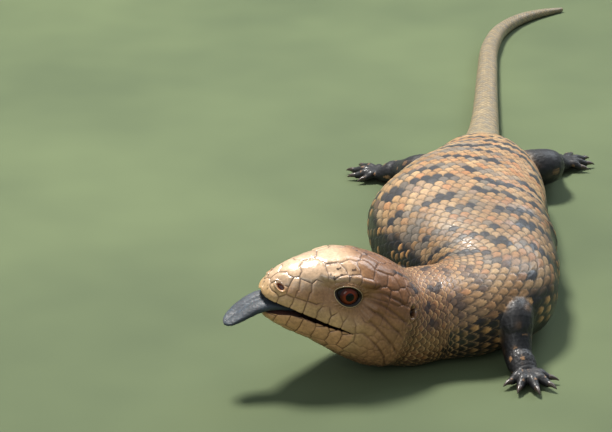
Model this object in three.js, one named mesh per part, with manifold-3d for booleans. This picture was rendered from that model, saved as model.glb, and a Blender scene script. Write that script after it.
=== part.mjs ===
// A life-size blue-tongued skink (Tiliqua gigas) at rest on a flat floor, tongue out, as a still display model.
// Millimetres, +Z up. The trunk lies along Y with the head at the -Y end; the head turns to the animal's right.
// The floor is Z = 0, and the origin is on the floor under the middle of the belly's flat.
import * as THREE from "three";
import { mergeVertices } from "three/addons/utils/BufferGeometryUtils.js";
import Module from "manifold-3d";

const wasm = await Module();
wasm.setup();

const GAP = 0.3; // between touching pieces
const RAD = Math.PI / 180;

// Where the belly's centre lies in the layout coordinates below; everything is shifted so that this is the origin.
const BELLY = { x: 47, y: 90 };

// Head: distances are measured back from the snout tip, heights from the closed mouth line.
const HEAD = {
  snout: [-33.9, -18.2, 36.5],
  yaw: 22.5, // the snout turned towards -Y, out of straight -X
  pitch: 21, // the snout lifted
  roll: 8, // the crown leant towards -Y
  length: 58.5,
  top: [
    [0, 2.4], [1, 5.2], [3, 8.6], [6.5, 12.1], [12, 15.8], [19.5, 20], [26.5, 23.1], [34.5, 24.4], [43.5, 23.8],
    [50.5, 22.4], [58.5, 20.4],
  ],
  bottom: [
    [0, 1.8], [1.5, 4], [4, 5.8], [9, 8.3], [17.5, 10.6], [27.5, 13], [37.5, 15.2], [46.5, 16.4], [52.5, 16.2],
    [58.5, 15],
  ],
  width: [
    [0, 2.6], [0.8, 4.8], [2.5, 6.9], [6, 9.5], [11.5, 12.3], [19.5, 15.1], [28.5, 18], [37.5, 20.9], [46.5, 22.5],
    [52.5, 22], [58.5, 20.6],
  ],
  mouth: [[0, 0], [3, 0.2], [9, 0.6], [19, 0.4], [31, -0.3], [58.5, -0.8]],
  topPower: [[0, 2], [4, 2.2], [11, 2.6], [26, 3], [45, 2.7], [58.5, 2.3]],
  bottomPower: [[0, 2], [9, 2.3], [29, 2.4], [58.5, 2.2]],
  lean: [[0, 0.05], [5, 0.12], [12.5, 0.18], [28.5, 0.2], [39.5, 0.22], [50.5, 0.16], [58.5, 0.08]],
};
const RICTUS = 33; // the corner of the mouth
const JAW = {
  open: 6.6, // how far the lower lip's front hangs below the upper lip's
  setBack: 3.4, // how far the lower lip's front lies behind the snout tip
  narrow: 0.87, // the lower lips' front half width over the upper's, which overhang them
  shallow: 0.72, // the jaw's depth at its front over the closed head's
};

const EYE = { back: 27.8, side: 10.9, up: 11.9, radius: 5.5, lid: 1.0, halfLength: 4.7, halfHeight: 3.8 };
const NOSTRIL = { back: 3.6, up: 6.3, radius: 1.1 };
const EAR = { back: 54.3, up: 12.6, halfLength: 2.0, halfHeight: 2.9, depth: 4 };

// Body stations behind the head: x, y, height of the widest line, half width, height above that line, depth below it.
const BODY = [
  [31, 8.5, 14.2, 20.6, 19.6, 13.8],
  [44, 12, 14.2, 22, 19.4, 14],
  [54, 22, 15, 25, 20.4, 15],
  [56, 41, 16, 28.5, 22, 16.2],
  [50.5, 65, 17, 36, 23.6, 17.3],
  [47, 90, 17.4, 38, 24.2, 17.8],
  [51, 114, 17, 35.2, 23, 17.3],
  [57, 138, 15.4, 30, 20.6, 15.7],
  [61, 159, 13.8, 25, 18, 14],
  [62.4, 178, 11.8, 19.4, 15.4, 11.9],
  [63, 196, 9.4, 12.4, 11.6, 9.5],
  [64.6, 213, 7.6, 9, 8.8, 7.7],
  [68.6, 251, 6, 6.5, 6.5, 6.1],
  [71.8, 290, 5.2, 5.6, 5.6, 5.3],
  [75, 330, 4.7, 5, 5, 4.8],
  [80, 376, 4.1, 4.3, 4.3, 4.2],
  [87.5, 405, 3.4, 3.5, 3.5, 3.5],
  [101, 429, 2.6, 2.7, 2.7, 2.7],
  [113, 441, 1.9, 1.9, 1.9, 2],
  [124, 449, 1.2, 1.0, 1.0, 1.3],
];
const BODY_TOP_POWER = 2.15;
const BODY_BELLY_POWER = 2.5;

const COLOURS = {
  head: [0xb39272, 0.42], jaw: [0xcdb593, 0.45], tongue: [0x5d6f94, 0.35], eye: [0x6b3018, 0.12],
  back: [0xa1805a, 0.5], tail: [0xa0876a, 0.55], limb: [0x2b2826, 0.5],
};

// A smooth curve through [x, value] stations that never overshoots them.
function along(stations, x) {
  const last = stations.length - 1;
  const at = Math.min(Math.max(x, stations[0][0]), stations[last][0]);
  const rise = (i) => (stations[i + 1][1] - stations[i][1]) / (stations[i + 1][0] - stations[i][0]);
  const slope = (i) => {
    if (i === 0) return rise(0);
    if (i === last) return rise(last - 1);
    const [a, b] = [rise(i - 1), rise(i)];
    return a * b <= 0 ? 0 : (2 * a * b) / (a + b);
  };
  let i = 0;
  while (i < last - 1 && stations[i + 1][0] < at) i += 1;
  const h = stations[i + 1][0] - stations[i][0];
  const t = (at - stations[i][0]) / h;
  return (
    (2 * t ** 3 - 3 * t ** 2 + 1) * stations[i][1] +
    (t ** 3 - 2 * t ** 2 + t) * h * slope(i) +
    (3 * t ** 2 - 2 * t ** 3) * stations[i + 1][1] +
    (t ** 3 - t ** 2) * h * slope(i + 1)
  );
}

const power = (v, p) => Math.sign(v) * Math.abs(v) ** p;

// The head's own axes in the layout: forward, left and up.
const headAxes = (() => {
  const [yaw, pitch, roll] = [HEAD.yaw * RAD, HEAD.pitch * RAD, HEAD.roll * RAD];
  const level = new THREE.Vector3(Math.sin(yaw), -Math.cos(yaw), 0);
  const ahead = new THREE.Vector3(-Math.cos(yaw), -Math.sin(yaw), 0);
  const forward = ahead.multiplyScalar(Math.cos(pitch)).add(new THREE.Vector3(0, 0, Math.sin(pitch)));
  const rise = forward.clone().cross(level);
  const left = level.clone().multiplyScalar(Math.cos(roll)).addScaledVector(rise, -Math.sin(roll));
  const up = rise.clone().multiplyScalar(Math.cos(roll)).addScaledVector(level, Math.sin(roll));
  return { forward, left, up, snout: new THREE.Vector3(...HEAD.snout) };
})();

const shifted = (p) => p.set(p.x - BELLY.x, p.y - BELLY.y, Math.max(p.z, 0));

// A point of the head, from its distance behind the snout, to the left and above the mouth line.
function headPoint(back, left, up) {
  const p = headAxes.snout.clone().addScaledVector(headAxes.forward, -back);
  return shifted(p.addScaledVector(headAxes.left, left).addScaledVector(headAxes.up, up));
}

// The head's outline at a distance behind the snout: angle 0 is the left lip, 90 degrees the crown.
function headOutline(back, angle) {
  const [c, s] = [Math.cos(angle), Math.sin(angle)];
  const upper = s >= 0;
  const fullness = 2 / along(upper ? HEAD.topPower : HEAD.bottomPower, back);
  const height = power(s, fullness);
  const lean = upper ? 1 - along(HEAD.lean, back) * Math.max(height, 0) ** 1.5 : 1;
  return {
    left: along(HEAD.width, back) * power(c, fullness) * lean,
    up: along(upper ? HEAD.top : HEAD.bottom, back) * height + along(HEAD.mouth, back),
  };
}

// Half the head's width at a height above the mouth line, on the upper side.
function sideAt(back, up) {
  const height = Math.min((up - along(HEAD.mouth, back)) / along(HEAD.top, back), 1);
  const p = along(HEAD.topPower, back);
  return along(HEAD.width, back) * (1 - height ** p) ** (1 / p) * (1 - along(HEAD.lean, back) * height ** 1.5);
}

// The lower jaw follows the closed head's outline, drawn back, narrowed and swung open towards its front.
function jawPoint(back, left, up) {
  const front = Math.max(0, (RICTUS - back) / RICTUS);
  const depth = along(HEAD.mouth, back) - up;
  const narrowed = left * (1 - (1 - JAW.narrow) * front);
  const level = along(HEAD.mouth, back) - JAW.open * front ** 1.15;
  return headPoint(back + JAW.setBack * front, narrowed, level - depth * (1 - (1 - JAW.shallow) * front));
}

// Rings of points joined into one closed surface, with a fan at each end.
function loft(rings) {
  const sides = rings[0].length;
  const points = rings.flat();
  const faces = [];
  for (let r = 0; r < rings.length - 1; r += 1) {
    for (let i = 0; i < sides; i += 1) {
      const [a, b] = [r * sides + i, r * sides + ((i + 1) % sides)];
      faces.push(a, b, b + sides, a, b + sides, a + sides);
    }
  }
  for (const [ring, end] of [[0, false], [rings.length - 1, true]]) {
    const centre = rings[ring].reduce((sum, p) => sum.add(p), new THREE.Vector3()).divideScalar(sides);
    points.push(centre);
    for (let i = 0; i < sides; i += 1) {
      const [a, b] = [ring * sides + i, ring * sides + ((i + 1) % sides)];
      faces.push(...(end ? [a, b, points.length - 1] : [b, a, points.length - 1]));
    }
  }
  return solidOf(points, faces);
}

function solidOf(points, faces) {
  const geometry = new THREE.BufferGeometry();
  geometry.setAttribute("position", new THREE.Float32BufferAttribute(points.flatMap((p) => [p.x, p.y, p.z]), 3));
  geometry.setIndex(faces);
  const merged = mergeVertices(geometry, 1e-4);
  const mesh = new wasm.Mesh({
    numProp: 3,
    vertProperties: merged.attributes.position.array,
    triVerts: new Uint32Array(merged.index.array),
  });
  const made = new wasm.Manifold(mesh);
  return made.volume() < 0 ? flipped(merged) : made;
}

function flipped(geometry) {
  const triVerts = new Uint32Array(geometry.index.array);
  for (let i = 0; i < triVerts.length; i += 3) [triVerts[i + 1], triVerts[i + 2]] = [triVerts[i + 2], triVerts[i + 1]];
  return new wasm.Manifold(new wasm.Mesh({ numProp: 3, vertProperties: geometry.attributes.position.array, triVerts }));
}

// The largest closed surface of a solid, which is what a node keeps after its cuts.
function largest(solid) {
  return solid.decompose().reduce((best, body) => (body.volume() > best.volume() ? body : best));
}

// An ellipsoid in the head's axes: its half sizes run back, left and up.
function headBall(centre, half, detail) {
  const ball = mergeVertices(stripped(new THREE.IcosahedronGeometry(1, detail)), 1e-4);
  const place = ball.attributes.position;
  const points = [];
  for (let i = 0; i < place.count; i += 1) {
    const unit = [place.getX(i), place.getY(i), place.getZ(i)];
    points.push(headPoint(...unit.map((v, k) => centre[k] + half[k] * v)));
  }
  return solidOf(points, Array.from(ball.index.array));
}

function stripped(geometry) {
  geometry.deleteAttribute("normal");
  geometry.deleteAttribute("uv");
  return geometry;
}

const spread = (from, to, steps) => Array.from({ length: steps + 1 }, (_, i) => from + ((to - from) * i) / steps);

const SNOUT_STEPS = [0, 0.4, 1.2, 2.6, 4.6, 7, 10];
const HEAD_SIDES = 36;

// The head's rings, whole or only above or below the mouth line.
function headRings(stations, part) {
  return stations.map((back) => {
    const [from, to] = { whole: [0, 360], upper: [0, 180], lower: [180, 360] }[part];
    const count = part === "whole" ? HEAD_SIDES : HEAD_SIDES / 2;
    const angles = spread(from, to, count).slice(0, part === "whole" ? -1 : undefined);
    const point = part === "lower" ? jawPoint : headPoint;
    const arch = part === "upper" ? 0.16 : 0.12; // how far the roof or floor of the mouth is hollowed
    const ring = angles.map((degrees) => {
      const { left, up } = headOutline(back, degrees * RAD);
      return point(back, left, up);
    });
    if (part !== "whole") {
      const half = along(HEAD.width, back);
      const level = along(HEAD.mouth, back);
      const sign = part === "upper" ? 1 : -1;
      const inner = (share) => point(back, sign * share * half, level + sign * arch * half * (1 - share ** 2));
      ring.push(...[-0.86, -0.6, -0.3, 0, 0.3, 0.6, 0.86].map(inner));
    }
    return ring;
  });
}

const TONGUE = {
  // back of the snout tip (negative is in front of it), height above the mouth line, half width, half thickness
  stations: [
    [20, -1.4, 3.2, 0.7], [13, -2.1, 5, 1.3], [7, -3, 5.6, 1.8], [2.8, -4.6, 5.6, 2.1], [-0.3, -6.6, 5.5, 2],
    [-3.2, -9.2, 5.2, 1.8], [-6, -11.7, 4.7, 1.5], [-8.4, -13.4, 3.8, 1.2], [-10, -14.3, 2.4, 0.9],
    [-10.7, -14.7, 1, 0.5],
  ],
  sides: 14,
  tipShift: 3, // the tip bends to the left
};

function tongueSolid(grow) {
  const rings = TONGUE.stations.map(([back, up, halfWidth, halfThick], i) => {
    const share = Math.max(0, -back) / 10.7;
    const shift = TONGUE.tipShift * share ** 2;
    const next = TONGUE.stations[Math.min(i + 1, TONGUE.stations.length - 1)];
    const previous = TONGUE.stations[Math.max(i - 1, 0)];
    const tilt = Math.atan2(previous[1] - next[1], previous[0] - next[0]);
    return spread(0, 360, TONGUE.sides).slice(0, -1).map((degrees) => {
      const [c, s] = [Math.cos(degrees * RAD), Math.sin(degrees * RAD)];
      const thick = power(s, 0.9) * (halfThick + grow);
      const across = shift + power(c, 0.8) * (halfWidth + grow);
      return headPoint(back - Math.sin(tilt) * thick, across, up + Math.cos(tilt) * thick);
    });
  });
  return loft(rings);
}

// An elliptical bar that runs out to the side from the eye, which opens the lids.
function lidOpening(side) {
  const rings = [1, 12].map((out) =>
    spread(0, 360, 20).slice(0, -1).map((degrees) => {
      const [c, s] = [Math.cos(degrees * RAD), Math.sin(degrees * RAD)];
      const corner = 1 - 0.25 * Math.abs(c) ** 3; // the corners of the eye are narrower than an ellipse
      const flare = out > 6 ? 1.2 : 1;
      return headPoint(
        EYE.back + EYE.halfLength * flare * c,
        side * (EYE.side + out),
        EYE.up + EYE.halfHeight * flare * corner * s + out * 0.12,
      );
    }),
  );
  return loft(rings);
}

function buildHead() {
  const upper = loft(headRings([...SNOUT_STEPS, 14, 18, 22, 26, 30, RICTUS + 2], "upper"));
  const rear = loft(headRings([RICTUS + GAP, 37, 41, 45, 49, 53, 56, HEAD.length - GAP], "whole"));
  let head = upper.add(rear);
  for (const side of [1, -1]) {
    const at = [EYE.back, side * EYE.side, EYE.up];
    const ball = (extra, detail) => headBall(at, Array(3).fill(EYE.radius + extra), detail);
    head = head.add(ball(EYE.lid + GAP, 4));
    head = head.subtract(ball(GAP, 4)).subtract(lidOpening(side));
    head = head.subtract(
      headBall([NOSTRIL.back, side * sideAt(NOSTRIL.back, NOSTRIL.up), NOSTRIL.up], [NOSTRIL.radius, 1.6, NOSTRIL.radius * 0.9], 1),
    );
    head = head.subtract(
      headBall([EAR.back, side * sideAt(EAR.back, EAR.up), EAR.up], [EAR.halfLength, EAR.depth, EAR.halfHeight], 2),
    );
  }
  return largest(head.subtract(tongueSolid(GAP)));
}

const buildJaw = () =>
  largest(loft(headRings([...SNOUT_STEPS, 15, 20, 25, 29, RICTUS], "lower")).subtract(tongueSolid(GAP)));

// The body's stations with their distance along the spine and their frames. The first is the head's last ring.
const spine = (() => {
  const end = headAxes.snout.clone().addScaledVector(headAxes.forward, -HEAD.length);
  const controls = [end, ...BODY.map(([x, y, z]) => new THREE.Vector3(x, y, z))];
  const before = headAxes.snout.clone().addScaledVector(headAxes.forward, -HEAD.length / 2);
  const sections = [
    [along(HEAD.width, HEAD.length), along(HEAD.top, HEAD.length), along(HEAD.bottom, HEAD.length)],
    ...BODY.map(([, , , w, t, b]) => [w, t, b]),
  ];
  const distance = [0];
  controls.slice(1).forEach((p, i) => distance.push(distance[i] + p.distanceTo(controls[i])));
  const tangents = controls.map((p, i) => {
    const a = i === 0 ? before : controls[i - 1];
    const b = controls[Math.min(i + 1, controls.length - 1)];
    const [da, db] = [p.distanceTo(a), Math.max(p.distanceTo(b), 1e-6)];
    if (i === controls.length - 1) return p.clone().sub(a).normalize();
    return p.clone().sub(a).divideScalar(da * da).add(b.clone().sub(p).divideScalar(db * db)).normalize();
  });
  tangents[0] = headAxes.forward.clone().negate();
  return { controls, sections, distance, tangents, length: distance[distance.length - 1] };
})();

// The spine's point, direction and section sizes at a distance behind the head.
function spineAt(s) {
  const last = spine.distance.length - 2;
  let i = 0;
  while (i < last && spine.distance[i + 1] < s) i += 1;
  const h = spine.distance[i + 1] - spine.distance[i];
  const t = (s - spine.distance[i]) / h;
  const [p, q] = [spine.controls[i], spine.controls[i + 1]];
  const [m, n] = [spine.tangents[i], spine.tangents[i + 1]];
  const at = p.clone().multiplyScalar(2 * t ** 3 - 3 * t ** 2 + 1)
    .addScaledVector(m, (t ** 3 - 2 * t ** 2 + t) * h)
    .addScaledVector(q, 3 * t ** 2 - 2 * t ** 3)
    .addScaledVector(n, (t ** 3 - t ** 2) * h);
  const way = p.clone().multiplyScalar((6 * t ** 2 - 6 * t) / h)
    .addScaledVector(m, 3 * t ** 2 - 4 * t + 1)
    .addScaledVector(q, (6 * t - 6 * t ** 2) / h)
    .addScaledVector(n, 3 * t ** 2 - 2 * t)
    .normalize();
  const size = [0, 1, 2].map((k) => along(spine.distance.map((d, j) => [d, spine.sections[j][k]]), s));
  return { at, way, size };
}

const NECK_BLEND = 30; // over this length the head's tilt and section power fade into the body's

function bodyRing(s, sides, grow = 0) {
  const { at, way, size } = spineAt(s);
  const fade = Math.min(1, s / NECK_BLEND);
  const blend = fade * fade * (3 - 2 * fade);
  const up = headAxes.up.clone().multiplyScalar(1 - blend).addScaledVector(new THREE.Vector3(0, 0, 1), blend);
  const left = up.clone().cross(way.clone().negate()).normalize();
  up.copy(way.clone().negate().cross(left)).normalize();
  return spread(0, 360, sides).slice(0, -1).map((degrees) => {
    const [c, q] = [Math.cos(degrees * RAD), Math.sin(degrees * RAD)];
    const headPower = along(q >= 0 ? HEAD.topPower : HEAD.bottomPower, HEAD.length);
    const bodyPower = q >= 0 ? BODY_TOP_POWER : BODY_BELLY_POWER;
    const fullness = 2 / (headPower + (bodyPower - headPower) * blend);
    const height = power(q, fullness);
    const lean = q >= 0 ? 1 - along(HEAD.lean, HEAD.length) * (1 - blend) * height ** 1.5 : 1;
    const level = along(HEAD.mouth, HEAD.length) * (1 - blend);
    const p = at.clone().addScaledVector(left, (size[0] + grow) * power(c, fullness) * lean);
    return shifted(p.addScaledVector(up, ((q >= 0 ? size[1] : size[2]) + grow) * height + level));
  });
}

const bodyPiece = (from, to, steps, sides) => loft(spread(from + GAP / 2, to - GAP / 2, steps).map((s) => bodyRing(s, sides)));

// Where the body is parted, as distances behind the head.
const CUTS = (() => {
  const d = spine.distance;
  return { head: GAP / 2, shoulder: d[3] - 8, middle: d[6] + 14, vent: d[10] + 6, tail: d[13], end: d[15], tip: d[20] };
})();

const TRUNK_SIDES = 40;
const TRUNK = [
  ["neck", CUTS.head, CUTS.shoulder, 8],
  ["torso_front", CUTS.shoulder, CUTS.middle, 13],
  ["torso_rear", CUTS.middle, CUTS.vent, 15],
];

// A limb's joints are x, y, z and radius, from inside the body to the wrist or ankle. The foot points along its toes.
const LIMBS = {
  front_left: {
    names: ["upper_arm_left", "forearm_left", "hand_left"],
    joints: [[60, 26, 16, 9.5], [62.8, 3, 17.4, 8.2], [64.6, -9, 5.4, 5.3]],
    foot: { to: [67, -18.5, 2.6], spreadDegrees: 62, toes: [7.5, 10, 11, 10, 7.5] },
  },
  front_right: {
    names: ["upper_arm_right", "forearm_right", "hand_right"],
    joints: [[42, 40, 14, 9.5], [18, 46, 15, 7.6], [5, 40, 5.4, 5.2]],
    foot: { to: [-4, 34, 2.6], spreadDegrees: 62, toes: [7.5, 10, 11, 10, 7.5] },
  },
  hind_left: {
    names: ["thigh_left", "shin_left", "foot_left"],
    joints: [[68, 172, 11, 9.5], [90, 175, 13, 8], [94, 199, 5.4, 5.4]],
    foot: { to: [102, 206, 2.6], spreadDegrees: 58, toes: [7, 10, 12.5, 13, 8.5] },
  },
  hind_right: {
    names: ["thigh_right", "shin_right", "foot_right"],
    joints: [[56, 172, 11, 9.5], [35, 168, 13, 8], [26, 188, 5.4, 5.4]],
    foot: { to: [17, 193, 2.6], spreadDegrees: 58, toes: [8.5, 13, 12.5, 10, 7] },
  },
};
const LIMB_SIDES = 12;
const FOOT_SQUASH = 0.7; // the palm's height over its width

// A round tube between two points with a radius for each share of its length.
function tube(from, to, radii, sides, squash = 1) {
  const [a, b] = [new THREE.Vector3(...from), new THREE.Vector3(...to)];
  const way = b.clone().sub(a).normalize();
  const left = new THREE.Vector3(0, 0, 1).cross(way).normalize();
  const up = way.clone().cross(left);
  return loft(
    radii.map(([share, radius]) =>
      spread(0, 360, sides).slice(0, -1).map((degrees) => {
        const p = a.clone().lerp(b, share);
        p.addScaledVector(left, radius * Math.cos(degrees * RAD));
        return shifted(p.addScaledVector(up, radius * squash * Math.sin(degrees * RAD)));
      }),
    ),
  );
}

const lerp3 = (a, b, t) => a.slice(0, 3).map((v, i) => v + (b[i] - v) * t);

// A ball at a joint, with its radius.
function jointBall([x, y, z, radius], grow, detail = 2) {
  const ball = mergeVertices(stripped(new THREE.IcosahedronGeometry(radius + grow, detail)), 1e-4);
  const place = ball.attributes.position;
  const points = [];
  for (let i = 0; i < place.count; i += 1) {
    points.push(shifted(new THREE.Vector3(x + place.getX(i), y + place.getY(i), z + place.getZ(i))));
  }
  return solidOf(points, Array.from(ball.index.array));
}

function buildFoot({ joints, foot }) {
  const wrist = joints[2];
  const palmEnd = foot.to;
  let made = tube(wrist, palmEnd, [[-0.1, 4.2], [0.2, 5.2], [0.7, 5.6], [1.05, 4.6]], 12, FOOT_SQUASH);
  const heading = Math.atan2(palmEnd[1] - wrist[1], palmEnd[0] - wrist[0]);
  foot.toes.forEach((length, i) => {
    const turn = heading + (foot.spreadDegrees * RAD * (i - 2)) / 2;
    const [c, s] = [Math.cos(turn), Math.sin(turn)];
    const root = [palmEnd[0] + c * 1.2, palmEnd[1] + s * 1.2, 2.4];
    const knuckle = [root[0] + c * length * 0.55, root[1] + s * length * 0.55, 3];
    const tip = [root[0] + c * length, root[1] + s * length, 1.7];
    const claw = [root[0] + c * (length + 3.6), root[1] + s * (length + 3.6), 0.7];
    made = made
      .add(tube(root, knuckle, [[-0.2, 1.9], [1, 2]], 7))
      .add(tube(knuckle, tip, [[-0.15, 2], [1, 1.3]], 7))
      .add(tube(tip, claw, [[-0.3, 1.0], [0.5, 0.75], [1, 0.28]], 5));
  });
  return made;
}

// One limb as three nodes, each cut back from the one that it grows from.
function buildLimb(limb, trunk) {
  const [root, bend, wrist] = limb.joints;
  const upperProfile = [[0, root[3]], [0.35, root[3] * 0.98], [0.7, bend[3] * 1.06], [1, bend[3]]];
  const lowerProfile = [[0, bend[3] * 0.98], [0.4, bend[3] * 0.94], [0.75, (bend[3] + wrist[3]) / 2], [1, wrist[3]]];
  const upper = tube(root, bend, upperProfile, LIMB_SIDES).add(jointBall(bend, 0));
  const lowerWhole = tube(bend, wrist, lowerProfile, LIMB_SIDES);
  const ballGrown = jointBall(bend, GAP);
  const upperGrown = tube(root, bend, upperProfile.map(([t, r]) => [t, r + GAP]), LIMB_SIDES);
  const palm = buildFoot(limb);
  const lowerGrown = tube(bend, wrist, [...lowerProfile.map(([t, r]) => [t, r + GAP]), [1.03, wrist[3] + GAP]], LIMB_SIDES);
  const lower = lowerWhole.subtract(ballGrown).subtract(upperGrown);
  return [
    [limb.names[0], largest(upper.subtract(trunk))],
    [limb.names[1], largest(lower.subtract(trunk))],
    [limb.names[2], largest(palm.subtract(lowerGrown).subtract(trunk))],
  ];
}

const group = new THREE.Group();

function show(name, solid, [colour, roughness]) {
  const { numProp, numVert, vertProperties, triVerts } = solid.getMesh();
  const place = new Float32Array(numVert * 3);
  for (let i = 0; i < numVert; i += 1) place.set(vertProperties.subarray(i * numProp, i * numProp + 3), i * 3);
  const geometry = new THREE.BufferGeometry();
  geometry.setAttribute("position", new THREE.BufferAttribute(place, 3));
  geometry.setIndex(new THREE.BufferAttribute(triVerts, 1));
  geometry.computeVertexNormals();
  const mesh = new THREE.Mesh(geometry, new THREE.MeshStandardMaterial({ color: colour, roughness, metalness: 0 }));
  mesh.name = name;
  group.add(mesh);
}

show("head", buildHead(), COLOURS.head);
show("lower_jaw", buildJaw(), COLOURS.jaw);
show("tongue", tongueSolid(0), COLOURS.tongue);
for (const [name, side] of [["eye_left", 1], ["eye_right", -1]]) {
  show(name, headBall([EYE.back, side * EYE.side, EYE.up], Array(3).fill(EYE.radius), 4), COLOURS.eye);
}
for (const [name, from, to, steps] of TRUNK) {
  show(name, bodyPiece(from, to, steps, TRUNK_SIDES), COLOURS.back);
}
show("tail_base", bodyPiece(CUTS.vent, CUTS.tail, 12, 24), COLOURS.tail);
show("tail_middle", bodyPiece(CUTS.tail, CUTS.end, 10, 18), COLOURS.tail);
show("tail_end", bodyPiece(CUTS.end, CUTS.tip, 14, 14), COLOURS.tail);

// The trunk a little fattened, on the rings of its own nodes, to part the limbs from it.
const trunkStations = TRUNK.flatMap(([, from, to, steps]) => spread(from + GAP / 2, to - GAP / 2, steps));
const trunkGrown = loft(trunkStations.map((s) => bodyRing(s, TRUNK_SIDES, GAP)));
for (const limb of Object.values(LIMBS)) {
  buildLimb(limb, trunkGrown).forEach(([name, solid]) => show(name, solid, COLOURS.limb));
}

export default group;
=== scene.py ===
"""Dresses the blue-tongued skink: one scaled skin over all its flesh, with eyes, claws, tongue and mouth.

Lengths are millimetres in the layout of the solids, and become metres in the shared frame at the end.
The head is built with its mouth closed. Its coordinates run back from the snout tip, left, and up from
the mouth line.
"""

import math
from collections import namedtuple

import bpy
import numpy as np
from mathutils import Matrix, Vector


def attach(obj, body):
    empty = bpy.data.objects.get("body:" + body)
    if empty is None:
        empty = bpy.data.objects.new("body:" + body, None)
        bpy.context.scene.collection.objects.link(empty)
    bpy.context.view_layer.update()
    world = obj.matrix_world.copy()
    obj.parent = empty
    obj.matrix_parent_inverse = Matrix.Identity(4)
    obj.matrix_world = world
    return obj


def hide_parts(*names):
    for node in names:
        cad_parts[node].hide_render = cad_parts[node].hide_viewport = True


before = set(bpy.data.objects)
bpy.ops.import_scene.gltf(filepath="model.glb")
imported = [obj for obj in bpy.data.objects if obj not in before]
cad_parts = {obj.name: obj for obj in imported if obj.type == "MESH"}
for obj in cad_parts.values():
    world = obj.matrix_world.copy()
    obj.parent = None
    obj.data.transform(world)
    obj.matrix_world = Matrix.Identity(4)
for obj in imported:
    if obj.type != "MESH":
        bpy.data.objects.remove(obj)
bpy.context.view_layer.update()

BELLY = np.array([47.0, 90.0, 0.0])  # the layout point that is the frame's origin
COARSE = 1.0  # grid spacing factor
QUARTER = 112  # columns of the skin's grid in a quarter of its girth
HALF = 2 * QUARTER
PALATE = 48  # columns across the roof or the floor of the mouth
HEAD_STEP = 0.27 * COARSE  # spacing of the head's rings

# The head's outline, measured back from the snout tip; heights are from the closed mouth line.
SNOUT = np.array([-33.9, -18.2, 36.5])
YAW, PITCH, ROLL = math.radians(22.5), math.radians(21), math.radians(8)
HEAD_LENGTH = 58.5
TOP = [
    (0, 2.4), (1, 5.2), (3, 8.6), (6.5, 12.1), (12, 15.8), (19.5, 20), (26.5, 23.1), (34.5, 24.4),
    (43.5, 23.8), (50.5, 22.4), (58.5, 20.4),
]
BOTTOM = [
    (0, 1.8), (1.5, 4), (4, 5.8), (9, 8.3), (17.5, 10.6), (27.5, 13), (37.5, 15.2), (46.5, 16.4),
    (52.5, 16.2), (58.5, 15),
]
WIDTH = [
    (0, 2.6), (0.8, 4.8), (2.5, 6.9), (6, 9.5), (11.5, 12.3), (19.5, 15.1), (28.5, 18), (37.5, 20.9),
    (46.5, 22.5), (52.5, 22), (58.5, 20.6),
]
MOUTH = [(0, 0), (3, 0.2), (9, 0.6), (19, 0.4), (31, -0.3), (58.5, -0.8)]
TOP_POWER = [(0, 2), (4, 2.2), (11, 2.6), (26, 3), (45, 2.7), (58.5, 2.3)]
BOTTOM_POWER = [(0, 2), (9, 2.3), (29, 2.4), (58.5, 2.2)]
LEAN = [(0, 0.05), (5, 0.12), (12.5, 0.18), (28.5, 0.2), (39.5, 0.22), (50.5, 0.16), (58.5, 0.08)]
SNOUT_ROUNDING = (0.25, 0.5, 0.72, 0.88, 0.97)  # sizes of the rings that round off the snout
RICTUS = 33.0  # the corner of the mouth
LIP_SOFT = 5.0  # how far before the corner the rounding of the lips fades
LIP_LIFT = [(0, 0.5), (4, 1.5), (8, 2.4), (13, 2.1), (18, 0.9), (24, 0.1), (33, 0)]
LIP_DROP = [(0, 0), (10, 0.2), (18, 0.5), (23, 0.7), (28, 0.4), (33, 0)]
JAW_OPEN, JAW_SET_BACK, JAW_NARROW, JAW_SHALLOW = 6.6, 3.4, 0.87, 0.72

EYE = np.array([27.8, 10.9, 11.9])  # back, side, up
EYE_RADIUS = 5.5
CORNEA = 0.28  # how far the clear front of the eyeball stands out
PUPIL, IRIS = math.radians(17.5), math.radians(43)  # their edges seen from the eye's centre
LID = 0.6  # how far the lids stand off the eyeball
EYE_HALF = (math.radians(62), math.radians(38))  # the lids' opening seen from the eye's centre
LID_POWER = 1.75  # the opening's outline, between a rhombus at 1 and an ellipse at 2
SLIT, LID_EDGE, LID_REACH = 0.25, 0.9, 1.45  # shares of the opening between which closed skin is drawn open
# Folds round the opening: height, share of the opening, width.
LID_FOLDS = [(0.3, 1.06, 0.06), (-0.28, 1.2, 0.05), (0.25, 1.32, 0.07), (-0.4, 1.47, 0.06)]
NO_LID = 9.0  # the share of the opening that stands for skin far from the eyes
# Pits in the skin: place (back, up), half sizes, depth, height of the rim.
NOSTRIL = ((3.6, 6.3), (1.15, 0.95), 1.4, 0.42)
EAR = ((54.3, 12.6), (1.5, 1.9), 2.8, 0.3)
# Creases behind the eye: height where each starts, its fall and its bend as it runs back.
CREASES = [
    (16.6, 0.05, 0.012), (13.6, -0.05, 0.014), (10.4, -0.14, 0.017), (6.4, -0.26, 0.020),
    (1.6, -0.36, 0.024),
]
CREASE_START = 36.0
# The ridge over the eye: back of the snout tip, height above the mouth line.
BROW = [(13, 13.2), (18, 15.4), (24, 17.6), (30, 18.8), (36, 18.6), (42, 17)]
# The tongue: back of the snout tip, height above the mouth line, half width, half thickness.
TONGUE = [
    (20, -1.4, 4.2, 0.8), (13, -1.9, 6.4, 1.5), (7, -2.4, 6.9, 2.0), (2.8, -3.8, 6.4, 2.3),
    (-0.3, -5.9, 6.1, 2.2), (-3.2, -8.6, 5.8, 2.0), (-6, -11.2, 5.2, 1.7), (-8.4, -13.1, 4.2, 1.3),
    (-10, -14.1, 2.7, 0.9), (-10.7, -14.6, 1.1, 0.5),
]
TONGUE_TURN = 3.0

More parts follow.
